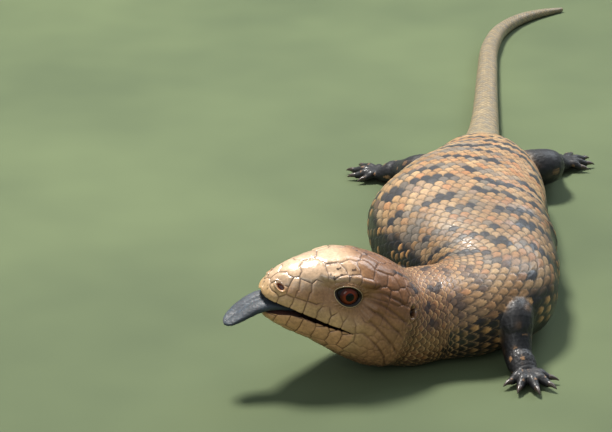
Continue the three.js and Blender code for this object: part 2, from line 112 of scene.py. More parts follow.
# Stations behind the head: x, y, height of the widest line, half width, height above it, depth below it.
BODY = [
    (31, 8.5, 14.2, 20.6, 19.6, 13.8),
    (44, 12, 14.2, 22, 19.4, 14),
    (54, 22, 15, 25, 20.4, 15),
    (56, 41, 16, 28.5, 22, 16.2),
    (50.5, 65, 17, 36, 23.6, 17.3),
    (47, 90, 17.4, 38, 24.2, 17.8),
    (51, 114, 17, 35.2, 23, 17.3),
    (57, 138, 15.4, 30, 20.6, 15.7),
    (61, 159, 13.8, 25, 18, 14),
    (62.4, 178, 11.8, 19.4, 15.4, 11.9),
    (63, 196, 9.4, 12.4, 11.6, 9.5),
    (64.6, 213, 7.6, 9, 8.8, 7.7),
    (68.6, 251, 6, 6.5, 6.5, 6.1),
    (71.8, 290, 5.2, 5.6, 5.6, 5.3),
    (75, 330, 4.7, 5, 5, 4.8),
    (80, 376, 4.1, 4.3, 4.3, 4.2),
    (87.5, 405, 3.4, 3.5, 3.5, 3.5),
    (101, 429, 2.6, 2.7, 2.7, 2.7),
    (113, 441, 1.9, 1.9, 1.9, 2),
    (124, 449, 1.2, 1.0, 1.0, 1.3),
]
BACK_POWER, BELLY_POWER = 2.15, 2.5
NECK_BLEND = 30.0
TRUNK_END = (236, 186)  # where the trunk's colours have gone, and where they start to go

# Scale rows: width of one scale and share of its length that shows, along the body from the end of the head.
ROWS_START, FIRST_COUNT = -34.0, 38
SCALE_WIDTH = [
    (-34, 3.4), (0, 3.3), (60, 4.0), (110, 4.5), (170, 4.1), (200, 3.6), (260, 3.1), (340, 2.7), (470, 1.7),
]
SCALE_SHOWN = [(-34, 0.7), (-8, 0.62), (20, 0.6), (50, 0.72), (470, 0.74)]
BODY_STEP, LIMB_STEP = 0.115, 0.15  # height of a scale's free edge, as a share of its length

# Limb joints: x, y, z, radius. The foot runs from the wrist or ankle to the roots of the toes.
LIMBS = {
    "front_left": {
        "joints": [(60, 26, 16, 9.5), (62.8, 3, 17.4, 8.2), (64.6, -9, 5.4, 5.3)],
        "palm": (67, -18.5, 2.6), "spread": 62, "toes": (7.5, 10, 11, 10, 7.5),
    },
    "front_right": {
        "joints": [(42, 40, 12, 9.5), (18, 46, 11.4, 7), (5, 40, 5.4, 5.2)],
        "palm": (-4, 34, 2.6), "spread": 62, "toes": (7.5, 10, 11, 10, 7.5),
    },
    "hind_left": {
        "joints": [(68, 172, 11, 9.5), (90, 175, 13, 8), (94, 199, 5.4, 5.4)],
        "palm": (102, 206, 2.6), "spread": 58, "toes": (7, 10, 12.5, 13, 8.5),
    },
    "hind_right": {
        "joints": [(56, 172, 11, 9.5), (35, 168, 13, 8), (26, 188, 5.4, 5.4)],
        "palm": (17, 193, 2.6), "spread": 58, "toes": (8.5, 13, 12.5, 10, 7),
    },
}
# A toe's axis: share of its length, height, radius.
TOE = [(0, 2.5, 2.1), (0.3, 2.9, 2.05), (0.55, 3.1, 2.1), (0.8, 2.3, 1.65), (1, 1.75, 1.3)]
CLAW = 3.6  # length of a claw
MELT = 0.00042 * COARSE  # grid, in metres, in which a limb's tubes melt together
LIMB_MARGIN = 12.0  # how far from its axis a limb's skin is looked for
TOE_FIRST = 0.12  # how much nearer than a toe the limb has to be, as a share of its radius
# Scales of the legs and of the toes: length, how many there are round the limb.
LIMB_SCALES = [(2.3, 18), (1.4, 8)]
LIMB_SHOWN, LONGEST_LIMB = 0.74, 90  # share of a scale that shows; room for the rows of every limb
# Where the limbs join the body: edges from the seam at which blending ends and is full, and its rounds.
BLEND_SHAPE, BLEND_COLOUR, SEAM_STEPS = (15, 4, 26), (28, 6, 34), 30

# The camera's place in the layout, its angle down from level and its lens and sensor.
CAMERA, LOOK_DOWN, LENS, SENSOR = np.array([-16.91, -896.55, 422.05]), 22, 150, 36
# Lamps: name, place in the frame, width, power, colour.
LAMPS = [
    ("sun_window", (-0.28, 0.42, 1.15), 0.3, 34, (1.0, 0.96, 0.9)),
    ("sky_window", (0.7, 0.8, 0.9), 0.9, 9, (0.85, 0.93, 1.0)),
    ("front_fill", (-0.5, -1.3, 0.8), 0.9, 5, (1.0, 0.99, 0.95)),
]
LAMP_AIM = Vector((0.0, 0.0, 0.02))
SKY, SKY_STRENGTH = (0.80, 0.90, 1.0), 0.4
FLOOR_SIZE, FLOOR_DROP = 12, 0.0005  # metres

# Large numbers that scatter the corners of the noise's lattice, and the size of a 32-bit word.
SCATTER, SEED_SCATTER, SECOND_SCATTER = (374761393, 668265263, 2147483647), 974634777, 1274126177
WORD = 0xFFFFFFFF


def hermite(t, start, end, start_slope, end_slope):
    """The cubic between two values whose slopes at its ends are given, at shares t of the way."""
    return (
        (2 * t**3 - 3 * t**2 + 1) * start
        + (t**3 - 2 * t**2 + t) * start_slope
        + (3 * t**2 - 2 * t**3) * end
        + (t**3 - t**2) * end_slope
    )


def along(stations, x):
    """A smooth curve through (x, value) stations that never overshoots them."""
    xs, ys = np.asarray(stations, float).T
    h = np.diff(xs)
    rise = np.diff(ys) / h
    slope = np.concatenate([rise[:1], np.zeros(len(xs) - 2), rise[-1:]])
    a, b = rise[:-1], rise[1:]
    same = a * b > 0
    slope[1:-1][same] = 2 * a[same] * b[same] / (a[same] + b[same])
    x = np.clip(x, xs[0], xs[-1])
    i = np.clip(np.searchsorted(xs, x, side="right") - 1, 0, len(h) - 1)
    return hermite((x - xs[i]) / h[i], ys[i], ys[i + 1], h[i] * slope[i], h[i] * slope[i + 1])


def smooth(low, high, x):
    """A soft step from 0 at low to 1 at high."""
    t = np.clip((x - low) / (high - low), 0, 1)
    return t * t * (3 - 2 * t)


def hump(x, width):
    """A soft rise round 0 that is gone two widths away."""
    return np.exp(-((x / width) ** 2))


def unit(v):
    """Vectors of length 1 along v."""
    return v / np.maximum(np.linalg.norm(v, axis=-1, keepdims=True), 1e-9)


def lengths_along(line):
    """How far each point of a line is from its start, measured along it."""
    return np.concatenate([[0], np.cumsum(np.linalg.norm(np.diff(line, axis=0), axis=1))])


def girth_of(ring):
    """The length of a closed ring."""
    return np.linalg.norm(np.roll(ring, -1, 0) - ring, axis=1).sum()


def chance_of(angle, spread):
    """A number from 0 to 1 that looks random but is always the same for the same angle."""
    return np.modf(np.abs(np.sin(angle) * spread))[0]


def head_axes():
    """The head's forward, left and up directions in the layout."""
    forward = np.array([-math.cos(YAW) * math.cos(PITCH), -math.sin(YAW) * math.cos(PITCH), math.sin(PITCH)])
    level = np.array([math.sin(YAW), -math.cos(YAW), 0.0])
    rise = np.cross(forward, level)
    left = level * math.cos(ROLL) - rise * math.sin(ROLL)
    up = rise * math.cos(ROLL) + level * math.sin(ROLL)
    return forward, left, up


FORWARD, LEFT, UP = head_axes()


def head_point(local):
    """Head coordinates (back, left, up) to the layout."""
    return SNOUT - local[..., :1] * FORWARD + local[..., 1:2] * LEFT + local[..., 2:3] * UP


def drop_lip(local):
    """The upper lip hangs a little over the mouth's side."""
    reach = smooth(4.5, 0, local[..., 2] - along(MOUTH, local[..., 0]))
    return local - (along(LIP_DROP, local[..., 0]) * reach)[..., None] * [0, 0, 1]


def swing_jaw(local):
    """The open mouth's place for a point of the closed lower jaw, whose lip is full and bowed upwards."""
    back, left, up = (local[..., k] for k in range(3))
    level = along(MOUTH, back)
    up = up + along(LIP_LIFT, back) * smooth(8.5, 0, np.maximum(level - up, 0))
    front = np.maximum(0, (RICTUS - back) / RICTUS)
    share = np.minimum(front, 1)
    depth = (level - up) * (1 - (1 - JAW_SHALLOW) * share)
    return np.stack([
        back + JAW_SET_BACK * front,
        left * (1 - (1 - JAW_NARROW) * share),
        level - JAW_OPEN * front**1.15 - depth,
    ], -1)


def section(size, power, lean, level, quarter):
    """One ring: left side, crown, right side, underside, evenly spaced in each quarter."""
    width, top, bottom = size
    angle = np.linspace(0, math.pi / 2, 65)
    c, s = np.cos(angle), np.sin(angle)
    sides = []
    for n, height, lean_here in ((power[0], top, lean), (power[1], bottom, 0.0)):
        reach = (c**n + s**n) ** (-1 / n)
        side = np.stack([width * reach * c * (1 - lean_here * (reach * s) ** 1.5), height * reach * s], -1)
        length = lengths_along(side)
        even = np.linspace(0, length[-1], quarter + 1)
        sides.append(np.stack([np.interp(even, length, side[:, k]) for k in range(2)], -1))
    upper, lower = sides
    flip = np.array([-1, 1])
    ring = np.concatenate([
        upper[:-1], (upper * flip)[::-1][:-1], (lower * -1)[:-1], (lower * -flip)[::-1][:-1],
    ])
    return ring + np.array([0, level])


def head_section(back, quarter):
    """The head's ring at a distance back from the snout tip."""
    size = [float(along(curve, back)) for curve in (WIDTH, TOP, BOTTOM)]
    power = [float(along(curve, back)) for curve in (TOP_POWER, BOTTOM_POWER)]
    return section(size, power, float(along(LEAN, back)), float(along(MOUTH, back)), quarter)


def even_stations(start, end, step, curve):
    """Places from start to end, evenly spaced along a profile curve."""
    fine = np.linspace(start, end, 4000)
    length = lengths_along(np.stack([fine, along(curve, fine)], -1))
    count = max(2, int(length[-1] / step))
    return np.interp(np.linspace(0, length[-1], count + 1), length, fine)


class Spine:
    """The line of the body behind the head, with its sections."""

    def __init__(self):
        rows = np.array(BODY, float)
        self.controls = np.concatenate([[SNOUT - FORWARD * HEAD_LENGTH], rows[:, :3]])
        first = [along(curve, HEAD_LENGTH) for curve in (WIDTH, TOP, BOTTOM)]
        self.sizes = np.concatenate([[first], rows[:, 3:]])
        self.distance = lengths_along(self.controls)
        self.length = self.distance[-1]
        step = np.diff(self.controls, axis=0)
        share = step / np.diff(self.distance)[:, None] ** 2
        self.tangents = np.concatenate([[-FORWARD], unit(share[:-1] + share[1:]), [unit(step[-1])]])

    def at(self, s):
        """The place, the direction and the size of the section at a distance behind the head."""
        i = int(np.clip(np.searchsorted(self.distance, s, side="right") - 1, 0, len(self.distance) - 2))
        h = self.distance[i + 1] - self.distance[i]
        t = (s - self.distance[i]) / h
        p, q = self.controls[i], self.controls[i + 1]
        m, n = self.tangents[i] * h, self.tangents[i + 1] * h
        way = (6 * t**2 - 6 * t) * (p - q) + (3 * t**2 - 4 * t + 1) * m + (3 * t**2 - 2 * t) * n
        size = [float(along(list(zip(self.distance, self.sizes[:, k])), s)) for k in range(3)]
        return hermite(t, p, q, m, n), unit(way), size


SPINE = Spine()


def body_ring(s, quarter):
    """The body's ring at a distance behind the head, which starts as the head's last one."""
    place, way, size = SPINE.at(s)
    blend = float(smooth(0, NECK_BLEND, s))
    up = UP * (1 - blend) + np.array([0, 0, 1.0]) * blend
    left = unit(np.cross(up, -way))
    up = unit(np.cross(-way, left))
    power_above, power_below, lean, level = (
        float(along(curve, HEAD_LENGTH)) * (1 - blend) for curve in (TOP_POWER, BOTTOM_POWER, LEAN, MOUTH)
    )
    power = (power_above + BACK_POWER * blend, power_below + BELLY_POWER * blend)
    ring = section(size, power, lean, level, quarter)
    return place + ring[:, :1] * left + ring[:, 1:] * up


class Surface:
    """Points and triangles gathered from rows, with the numbers that the scales are laid out by."""

    def __init__(self):
        self.parts = []
        self.faces = []
        self.count = 0

    def add(self, points, **numbers):
        """Adds a row of points and returns their places in the surface."""
        self.parts.append((points, numbers))
        ids = np.arange(self.count, self.count + len(points))
        self.count += len(points)
        return ids

    def quads(self, a, b, closed=True):
        """Joins two rows of equal length."""
        if closed:
            a, b = np.append(a, a[0]), np.append(b, b[0])
        tri = np.concatenate([
            np.stack([a[:-1], b[:-1], b[1:]], -1),
            np.stack([a[:-1], b[1:], a[1:]], -1),
        ])
        good = (tri[:, 0] != tri[:, 1]) & (tri[:, 1] != tri[:, 2]) & (tri[:, 0] != tri[:, 2])
        self.faces.append(tri[good])

    def halve(self, a, b):
        """Joins a closed row to a closed row of half its points."""
        a0, a1, a2 = a[::2], a[1::2], np.roll(a, -2)[::2]
        b1 = np.roll(b, -1)
        self.faces.append(np.concatenate([
            np.stack([a0, b, a1], -1), np.stack([a1, b1, a2], -1), np.stack([a1, b, b1], -1),
        ]))

    def cap(self, row, point, last, **numbers):
        """Closes the first or the last ring with a point."""
        centre = np.full(len(row), self.add(point[None], **numbers)[0])
        following = np.roll(row, -1)
        self.faces.append(np.stack([row, centre, following] if last else [row, following, centre], -1))

    def loft(self, rings, start, end):
        """Joins closed rings one after another, with a point at each end."""
        previous = None
        for ring in rings:
            ids = self.add(ring)
            if previous is None:
                self.cap(ids, start, False)
            else:
                self.quads(previous, ids)
            previous = ids
        self.cap(previous, end, True)

    def numbers(self, name):
        """One of the numbers of all points, 0 where a row was added without it."""
        return np.concatenate([np.broadcast_to(n.get(name, 0), len(p)).astype(float) for p, n in self.parts])

    def points(self):
        """All points, in the order they were added."""
        return np.concatenate([p for p, _ in self.parts])

    def triangles(self):
        """All triangles, as rows of three places."""
        return np.concatenate(self.faces)


PALATE_SHARE = np.linspace(-1, 1, PALATE + 1)[1:-1]


def mouth_lining(back, sign):
    """A row across the mouth's hollowed roof (sign 1) or floor (-1), on from that jaw's outer skin."""
    width, level = float(along(WIDTH, back)), float(along(MOUTH, back))
    curve, share, most = (TOP, 0.3, 3.2) if sign > 0 else (BOTTOM, 0.24, 2.4)
    hollow = min(share * float(along(curve, back)), most) * (1 - np.abs(PALATE_SHARE) ** 7)
    line = np.stack([PALATE_SHARE * width, level + sign * hollow], -1)
    return line if sign > 0 else line[::-1]


def soften_lips(ring, amount):
    """Rounds the edges of the lips at both corners of one jaw's closed ring."""
    for _ in range(int(7 * amount)):
        moved = 0.5 * ring + 0.25 * (np.roll(ring, 1, 0) + np.roll(ring, -1, 0))
        for corner in (0, HALF):
            near = (np.arange(corner - 4, corner + 5)) % len(ring)
            ring[near] = moved[near]
    return ring


def head_row(skin, back, row, **numbers):
    """Adds a row of the closed-mouth head at a distance back from the snout tip."""
    return skin.add(np.column_stack([np.full(len(row), back), row]), head=1, **numbers)


def build_jaw(skin, sign, stations):
    """One jaw's outer skin and its side of the mouth, up to the last ring before the mouth's corner."""
    lower = float(sign < 0)
    previous = None
    for back, scale in stations:
        ring = head_section(max(back, 0), QUARTER)
        outer = np.concatenate([ring[HALF:], ring[:1]]) if lower else ring[: HALF + 1]
        lining = mouth_lining(max(back, 0), sign)
        whole = np.concatenate([outer, lining])
        whole = soften_lips(whole, float(smooth(RICTUS, RICTUS - LIP_SOFT, back)))
        centre = whole.mean(0)
        whole = centre + (whole - centre) * scale
        turn = np.zeros(len(whole))
        turn[: len(outer)] = (np.arange(len(outer)) / (4 * QUARTER) + 0.5 * lower) % 1
        inside = np.repeat([0, 1], [len(outer), len(lining)])
        ids = head_row(skin, back, whole, lower=lower, inside=inside, s=back - HEAD_LENGTH, turn=turn)
        if previous is None:
            skin.cap(ids, np.array([-0.52, *centre]), False, head=1, lower=lower, s=-HEAD_LENGTH, turn=0.25)
        else:
            skin.quads(previous, ids)
        previous = ids
    return previous


def build_body():
    """The whole skin from the lips to the tail tip as one closed grid."""
    skin = Surface()
    stations = [(-0.5 * (1 - t * t), t) for t in SNOUT_ROUNDING]
    stations += [(back, 1.0) for back in even_stations(0, RICTUS, HEAD_STEP, TOP)[:-1]]
    upper = build_jaw(skin, 1, stations)
    lower = build_jaw(skin, -1, stations)
    corner_s = RICTUS - HEAD_LENGTH
    turns = np.arange(4 * QUARTER) / (4 * QUARTER)
    joint = head_row(skin, RICTUS, head_section(RICTUS, QUARTER), s=corner_s, turn=turns)
    roof_line, floor_line = mouth_lining(RICTUS, 1), mouth_lining(RICTUS, -1)
    roof = head_row(skin, RICTUS, roof_line, inside=1, s=corner_s)
    floor = head_row(skin, RICTUS, floor_line, inside=1, s=corner_s)
    skin.quads(upper, np.concatenate([joint[: HALF + 1], roof]))
    skin.quads(lower, np.concatenate([joint[HALF:], joint[:1], floor]))
    # The back of the mouth, between the last line of the roof and that of the floor.
    right, left = joint[[HALF]], joint[[0]]
    previous = np.concatenate([right, roof, left])
    for t in (0.25, 0.5, 0.75):
        line = roof_line * (1 - t) + floor_line[::-1] * t
        bulge = 5 * math.sin(math.pi * t) * (1 - PALATE_SHARE**2)
        row = np.concatenate([right, head_row(skin, RICTUS + bulge, line, inside=1, s=corner_s), left])
        skin.quads(previous, row, False)
        previous = row
    skin.quads(previous, np.concatenate([right, floor[::-1], left]), False)

    previous = joint
    for back in even_stations(RICTUS, HEAD_LENGTH, HEAD_STEP, TOP)[1:-1]:
        ids = head_row(skin, back, head_section(back, QUARTER), s=back - HEAD_LENGTH, turn=turns)
        skin.quads(previous, ids)
        previous = ids
    s, quarter = 0.0, QUARTER
    while s < SPINE.length:
        points = body_ring(s, quarter)
        ids = skin.add(points, s=s, turn=np.arange(4 * quarter) / (4 * quarter))
        join = skin.halve if len(ids) < len(previous) else skin.quads
        join(previous, ids)
        previous = ids
        s += (0.3 + 0.12 * float(smooth(0, 50, s)) - 0.1 * float(smooth(190, 240, s))) * COARSE
        girth = girth_of(points)
        if girth < 62 and quarter == QUARTER or girth < 34 and quarter == QUARTER // 2:
            quarter //= 2
    skin.cap(previous, SPINE.controls[-1] + SPINE.tangents[-1] * 1.2, True, s=SPINE.length)
    return skin


def side_at(back, up):
    """Half the head's width at a height above the mouth line."""
    height = np.clip((up - along(MOUTH, back)) / along(TOP, back), 0, 1)
    n = along(TOP_POWER, back)
    return along(WIDTH, back) * (1 - height**n) ** (1 / n) * (1 - along(LEAN, back) * height**1.5)


def eye_frame(side):
    """The eye's centre, the way it looks, and its axes along and across the lids' opening."""
    centre = EYE * np.array([1, side, 1])
    gaze = unit(np.array([-0.16, side, 0.14]))
    across = unit(np.array([0.0, 0.0, 1.0]) - gaze[2] * gaze)
    return centre, gaze, np.cross(across, gaze), across


def gaze_angles(local, side):
    """Each point seen from the eye's centre: distance, angle off the gaze, and cosine and sine round it."""
    centre, gaze, length, across = eye_frame(side)
    v = local - centre
    distance = np.linalg.norm(v, axis=1)
    way = v / np.maximum(distance, 1e-6)[:, None]
    x, y = way @ length, way @ across
    r = np.maximum(np.hypot(x, y), 1e-6)
    return distance, np.arccos(np.clip(way @ gaze, -1, 1)), x / r, y / r


def shape_eyes(local):
    """Lays the skin round each eyeball as open lids; also each point's share of the opening."""
    rim = np.full(len(local), NO_LID)
    for side in (1, -1):
        centre, gaze, length, across = eye_frame(side)
        distance, off, c, s = gaze_angles(local, side)
        edge = np.abs(c / EYE_HALF[0]) ** LID_POWER + np.abs(s / EYE_HALF[1]) ** LID_POWER
        edge = edge ** (-1 / LID_POWER)
        share = off / edge
        near = (distance < 13) & (share < 2.4) & (local[:, 1] * side > 5)
        # The closed skin over the opening crowds into the lids' inner walls.
        drawn = LID_EDGE + (share - SLIT) * (LID_REACH - LID_EDGE) / (LID_REACH - SLIT)
        drawn = np.where(share < SLIT, share * LID_EDGE / SLIT, np.where(share < LID_REACH, drawn, share))
        angle = drawn * edge
        spoke = c[:, None] * length + s[:, None] * across
        way = np.cos(angle)[:, None] * gaze + np.sin(angle)[:, None] * spoke
        stand = EYE_RADIUS + LID
        free = 0.5 * (distance + stand + np.sqrt((distance - stand) ** 2 + 0.9))
        free = distance + (free - distance) * smooth(2.4, 1.7, drawn)
        outer = stand + (free - stand) * smooth(1.1, 1.75, drawn)
        for height, place, width in LID_FOLDS:
            outer = outer + height * hump(drawn - place, width)
        wall = smooth(LID_EDGE, 1.0, drawn)
        reach = (EYE_RADIUS - 1.6) * (1 - wall) + outer * wall
        local = np.where(near[:, None], centre + way * reach[:, None], local)
        rim = np.where(near, np.minimum(rim, drawn), rim)
    return local, rim


# Head shields: name, then seed points (back, left, up) on the left half; the right half mirrors them.
SHIELDS = {
    "rostral": [(-0.3, 0, 1.6), (0.2, 2.2, 1.6), (0.9, 3.8, 1.4), (0.5, 0, 3.6), (2.0, 5.6, 1.2)],
    "nasal": [(2.6, 4.6, 5.8), (3.9, 6.0, 6.0), (5.0, 7.0, 5.8)],
    "supranasal": [(2.6, 1.9, 7.6), (4.2, 3.4, 9.0), (5.6, 5.6, 8.6)],
    "frontonasal": [(6.2, 0, 11.4), (9.4, 0, 13.7), (7.8, 3.0, 12.2)],
    "postnasal": [(7.2, 8.2, 6.2), (7.8, 7.6, 8.8)],
    "prefrontal": [(12.0, 3.0, 15.4), (15.0, 4.6, 16.9), (12.4, 7.0, 13.4), (16.0, 7.6, 16.0)],
    "loreal_front": [(11.0, 10.2, 6.6), (11.2, 9.2, 9.8)],
    "loreal_rear": [(15.8, 12.1, 7.2), (16.0, 11.0, 11.4)],
    "frontal": [(20.0, 0, 20.2), (20.2, 2.4, 20.0), (24.5, 2.8, 22.0), (28.5, 2.4, 23.1), (31.0, 0, 23.7)],
    "supraocular_1": [(20.6, 7.8, 18.2), (22.6, 9.4, 18.4)],
    "supraocular_2": [(26.6, 7.4, 21.2), (27.6, 9.6, 20.4)],
    "supraocular_3": [(32.6, 7.8, 22.5), (33.2, 10.4, 21.2)],
    "brow_1": [(18.8, 12.0, 14.0)],
    "brow_2": [(23.4, 12.2, 17.2)],
    "brow_3": [(28.2, 12.7, 18.8)],
    "brow_4": [(32.8, 13.8, 18.4)],
    "frontoparietal": [(35.0, 2.8, 24.3), (37.0, 4.6, 24.1)],
    "interparietal": [(38.6, 0, 24.3), (42.4, 0, 24.1)],
    "parietal": [(40.4, 6.6, 23.2), (44.2, 5.6, 23.1), (46.0, 3.0, 23.3)],
    "nuchal": [(50.0, 3.0, 22.7)],
    "nuchal_side": [(48.4, 9.4, 21.2)],
    "preocular_low": [(19.4, 13.8, 7.6)],
    "subocular_1": [(22.8, 15.4, 6.0)],
    "subocular_2": [(27.8, 17.2, 5.2)],
    "postocular": [(35.6, 16.2, 15.0)],
    "temporal_1": [(38.6, 12.2, 20.8), (39.8, 11.2, 21.4)],
    "temporal_2": [(44.4, 11.8, 20.7)],
    "temporal_3": [(40.4, 16.4, 17.2)],
    "temporal_4": [(45.8, 16.7, 16.6)],
    "temporal_5": [(50.6, 14.6, 17.9)],
    "cheek_1": [(36.6, 18.2, 11.8), (40.0, 19.0, 12.8)],
    "cheek_2": [(44.6, 19.6, 12.6), (48.4, 20.0, 12.4)],
    "cheek_3": [(35.2, 19.2, 7.6), (39.2, 20.4, 8.4)],
    "cheek_4": [(43.6, 21.2, 8.2), (48.2, 21.6, 8.0)],
    "cheek_5": [(34.8, 19.8, 3.6), (38.4, 20.9, 4.0)],
    "cheek_6": [(42.6, 21.8, 3.6), (47.4, 22.2, 3.4)],
    "cheek_7": [(36.6, 20.5, -1.4), (40.4, 21.4, -1.4)],
    "cheek_8": [(44.6, 22.0, -2.0), (49.0, 22.0, -2.6)],
    "cheek_9": [(35.0, 18.6, -6.0), (39.0, 19.6, -6.8)],
    "cheek_10": [(43.2, 20.0, -7.8), (47.6, 20.0, -8.6)],
    "upper_lip_1": [(6.0, 9.3, 1.6), (6.4, 9.3, 3.4)],
    "upper_lip_2": [(10.5, 11.6, 1.6), (10.6, 11.4, 3.8)],
    "upper_lip_3": [(15.6, 13.6, 1.6), (15.4, 13.4, 4.0)],
    "upper_lip_4": [(20.6, 15.4, 1.2), (20.4, 15.2, 3.4)],
    "upper_lip_5": [(25.4, 16.8, 0.8), (25.4, 16.7, 2.4)],
    "upper_lip_6": [(30.4, 18.5, 0.4), (30.6, 18.4, 2.4)],
    "mental": [(-0.3, 0, -1.3), (0.8, 2.6, -1.4), (1.6, 0, -3.2), (2.2, 4.6, -1.2)],
    "lower_lip_1": [(6.2, 9.0, -1.2), (6.2, 8.4, -2.8)],
    "lower_lip_2": [(10.4, 11.2, -1.2), (10.6, 10.6, -3.0)],
    "lower_lip_3": [(15.6, 13.2, -1.6), (16.0, 12.6, -3.6)],
    "lower_lip_4": [(21.8, 15.4, -1.8), (22.0, 14.8, -4.0)],
    "lower_lip_5": [(27.0, 17.0, -2.2), (27.4, 16.4, -4.4)],
    "lower_lip_6": [(31.6, 18.4, -2.4), (31.8, 17.8, -4.8)],
    "chin_middle": [(5.0, 0, -5.8), (7.6, 2.2, -6.8)],
    "chin_1": [(12.4, 3.6, -8.4), (10.6, 7.0, -6.6)],
    "chin_2": [(18.6, 4.2, -9.8), (17.0, 9.2, -7.8)],
    "chin_3": [(24.2, 11.6, -8.6), (26.0, 7.6, -11.4)],
    "chin_4": [(31.0, 14.6, -9.8), (32.4, 10.4, -12.8)],
}
# How far back the shields reach, at turns from the left side over the crown, the right side and the chin.
SHIELD_EDGE = [
    (0, 51), (0.06, 52), (0.12, 52), (0.25, 52), (0.38, 52), (0.44, 52), (0.5, 51), (0.6, 36), (0.75, 29),
    (0.9, 36), (1, 51),
]

Look = namedtuple("Look", "ahead behind across chance size number column")


class Rows:
    """Rows of overlapping scales round a tube, by each row's start, scale length and scale count."""

    def __init__(self, start, length, count):
        self.start = np.asarray(start, float)
        self.length = np.asarray(length, float)
        self.count = np.asarray(count, float)

    def edge(self, row, turn):
        """The free edge of a row's scale at a turn, with that scale's column and the place across it."""
        row = np.clip(row, 0, len(self.start) - 1)
        spot = (turn - 0.25) * self.count[row] - 0.5 * (row % 2)
        column = np.round(spot)
        across = spot - column
        curve = (1 - np.minimum(2 * np.abs(across), 1) ** 2.3) ** 0.62
        return self.start[row] + 0.95 * self.length[row] * curve, column % self.count[row], across

    def look(self, s, turn):
        """Each place's distance to its scale's free edge and to the last one's, and which scale it is."""
        row = np.searchsorted(self.start, s, side="right") - 1
        edge0, column0, across0 = self.edge(row, turn)
        edge1, column1, across1 = self.edge(row + 1, turn)
        before = self.edge(row - 1, turn)[0]
        first = s < edge0
        ahead = np.where(first, edge0, edge1) - s
        behind = np.maximum(s - np.where(first, before, edge0), 0)
        column = np.where(first, column0, column1)
        number = np.where(first, row, row + 1)
        chance = chance_of(number * 12.9898 + column * 78.233, 43758.5453)
        size = self.length[np.clip(number, 0, len(self.start) - 1)]
        return Look(ahead, behind, np.where(first, across0, across1), chance, size, number, column)


def body_rows():
    """The rows of the trunk and tail; they start on the back of the head."""
    samples = np.linspace(ROWS_START, SPINE.length, 260)
    girths = [girth_of(head_section(HEAD_LENGTH + s, 40) if s < 0 else body_ring(s, 40)) for s in samples]
    rows = []
    s, n = ROWS_START, FIRST_COUNT
    while s < SPINE.length + 3:
        girth = float(np.interp(s, samples, girths))
        ideal = girth / float(along(SCALE_WIDTH, s))
        while ideal - n > 1.8:
            n += 2
        while n - ideal > 1.8 and n > 8:
            n -= 2
        rows.append((s, float(along(SCALE_SHOWN, s)) * girth / n, n))
        s += rows[-1][1]
    return Rows(*zip(*rows))


BODY_ROWS = body_rows()


def shield_seeds():
    """Seed points with the number of their shield, and the scale rows' centres behind and below them."""
    places, names = [], []
    for i, seeds in enumerate(SHIELDS.values()):
        for back, left, up in seeds:
            for side in (1, -1) if left else (1,):
                middle = any(seed[1] == 0 for seed in seeds)
                places.append((back, side * left, up))
                names.append(2 * i + (1 if side < 0 and not middle else 0))
    number = 1000  # scales are numbered from here, apart from the shields
    for row in range(len(BODY_ROWS.start)):
        s = BODY_ROWS.start[row] + 0.15 * BODY_ROWS.length[row]
        back = s + HEAD_LENGTH
        if back > HEAD_LENGTH + 1:
            break
        ring = head_section(min(back, HEAD_LENGTH), QUARTER)
        count = int(BODY_ROWS.count[row])
        for column in range(count):
            turn = (0.25 + (column + 0.5 * (row % 2)) / count) % 1
            if back < along(SHIELD_EDGE, turn):
                continue
            left, up = ring[int(turn * len(ring)) % len(ring)]
            places.append((back, left, up))
            names.append(number)
            number += 1
    return np.array(places), np.array(names)


def shield_edges(local):
    """For each point: distance to its shield's edge, and a chance number of the shield."""
    places, names = shield_seeds()
    edge = np.empty(len(local))
    chance = np.empty(len(local))
    at_once = 20000
    for low in range(0, len(local), at_once):
        part = slice(low, low + at_once)
        p = local[part]
        gap = ((p[:, None, :] - places[None]) ** 2).sum(-1)
        first = gap.argmin(1)
        near = gap[np.arange(len(p)), first]
        gap[names[first][:, None] == names[None]] = 1e9
        second = gap.argmin(1)
        far = gap[np.arange(len(p)), second]
        apart = np.linalg.norm(places[first] - places[second], axis=1)
        edge[part] = (far - near) / (2 * np.maximum(apart, 0.5))
        chance[part] = chance_of(names[first] * 91.7 + 3.1, 4375.85)
    return edge, chance


def lattice_noise(points, size, seed):
    """Smooth noise from -1 to 1 with features of about the size given."""
    p = points / size + seed * 17.3
    cell = np.floor(p).astype(np.int64)
    f = p - cell
    f = f * f * (3 - 2 * f)
    total = np.zeros(len(points))
    for corner in np.ndindex(2, 2, 2):
        c = cell + np.array(corner)
        h = (c @ SCATTER + seed * SEED_SCATTER) & WORD
        h = ((h ^ (h >> 13)) * SECOND_SCATTER) & WORD
        value = (h ^ (h >> 16)) / WORD * 2 - 1
        x, y, z = (f[:, k] if corner[k] else 1 - f[:, k] for k in range(3))
        total += value * (x * y) * z
    return total


def tube(axis, sides, squash=None):
    """A closed tube along rows of x, y, z, radius, as points and triangles."""
    path, radius = axis[:, :3], axis[:, 3, None, None]
    squash = np.ones_like(radius) if squash is None else squash[:, None, None]
    ways = unit(np.concatenate([path[1:2] - path[:1], path[2:] - path[:-2], path[-1:] - path[-2:-1]]))
    left = unit(np.cross([0, 0, 1.0], ways))
    up = np.cross(ways, left)[:, None]
    turn = np.linspace(0, 2 * math.pi, sides, endpoint=False)
    out = np.cos(turn)[:, None] * left[:, None] + squash * np.sin(turn)[:, None] * up
    rings = path[:, None] + radius * out
    surface = Surface()
    surface.loft(rings, path[0] - ways[0] * axis[0, 3] * 0.3, path[-1] + ways[-1] * axis[-1, 3] * 0.5)
    # These rings turn the other way about their path than the body's, so the triangles are turned over.
    return surface.points(), surface.triangles()[:, ::-1]


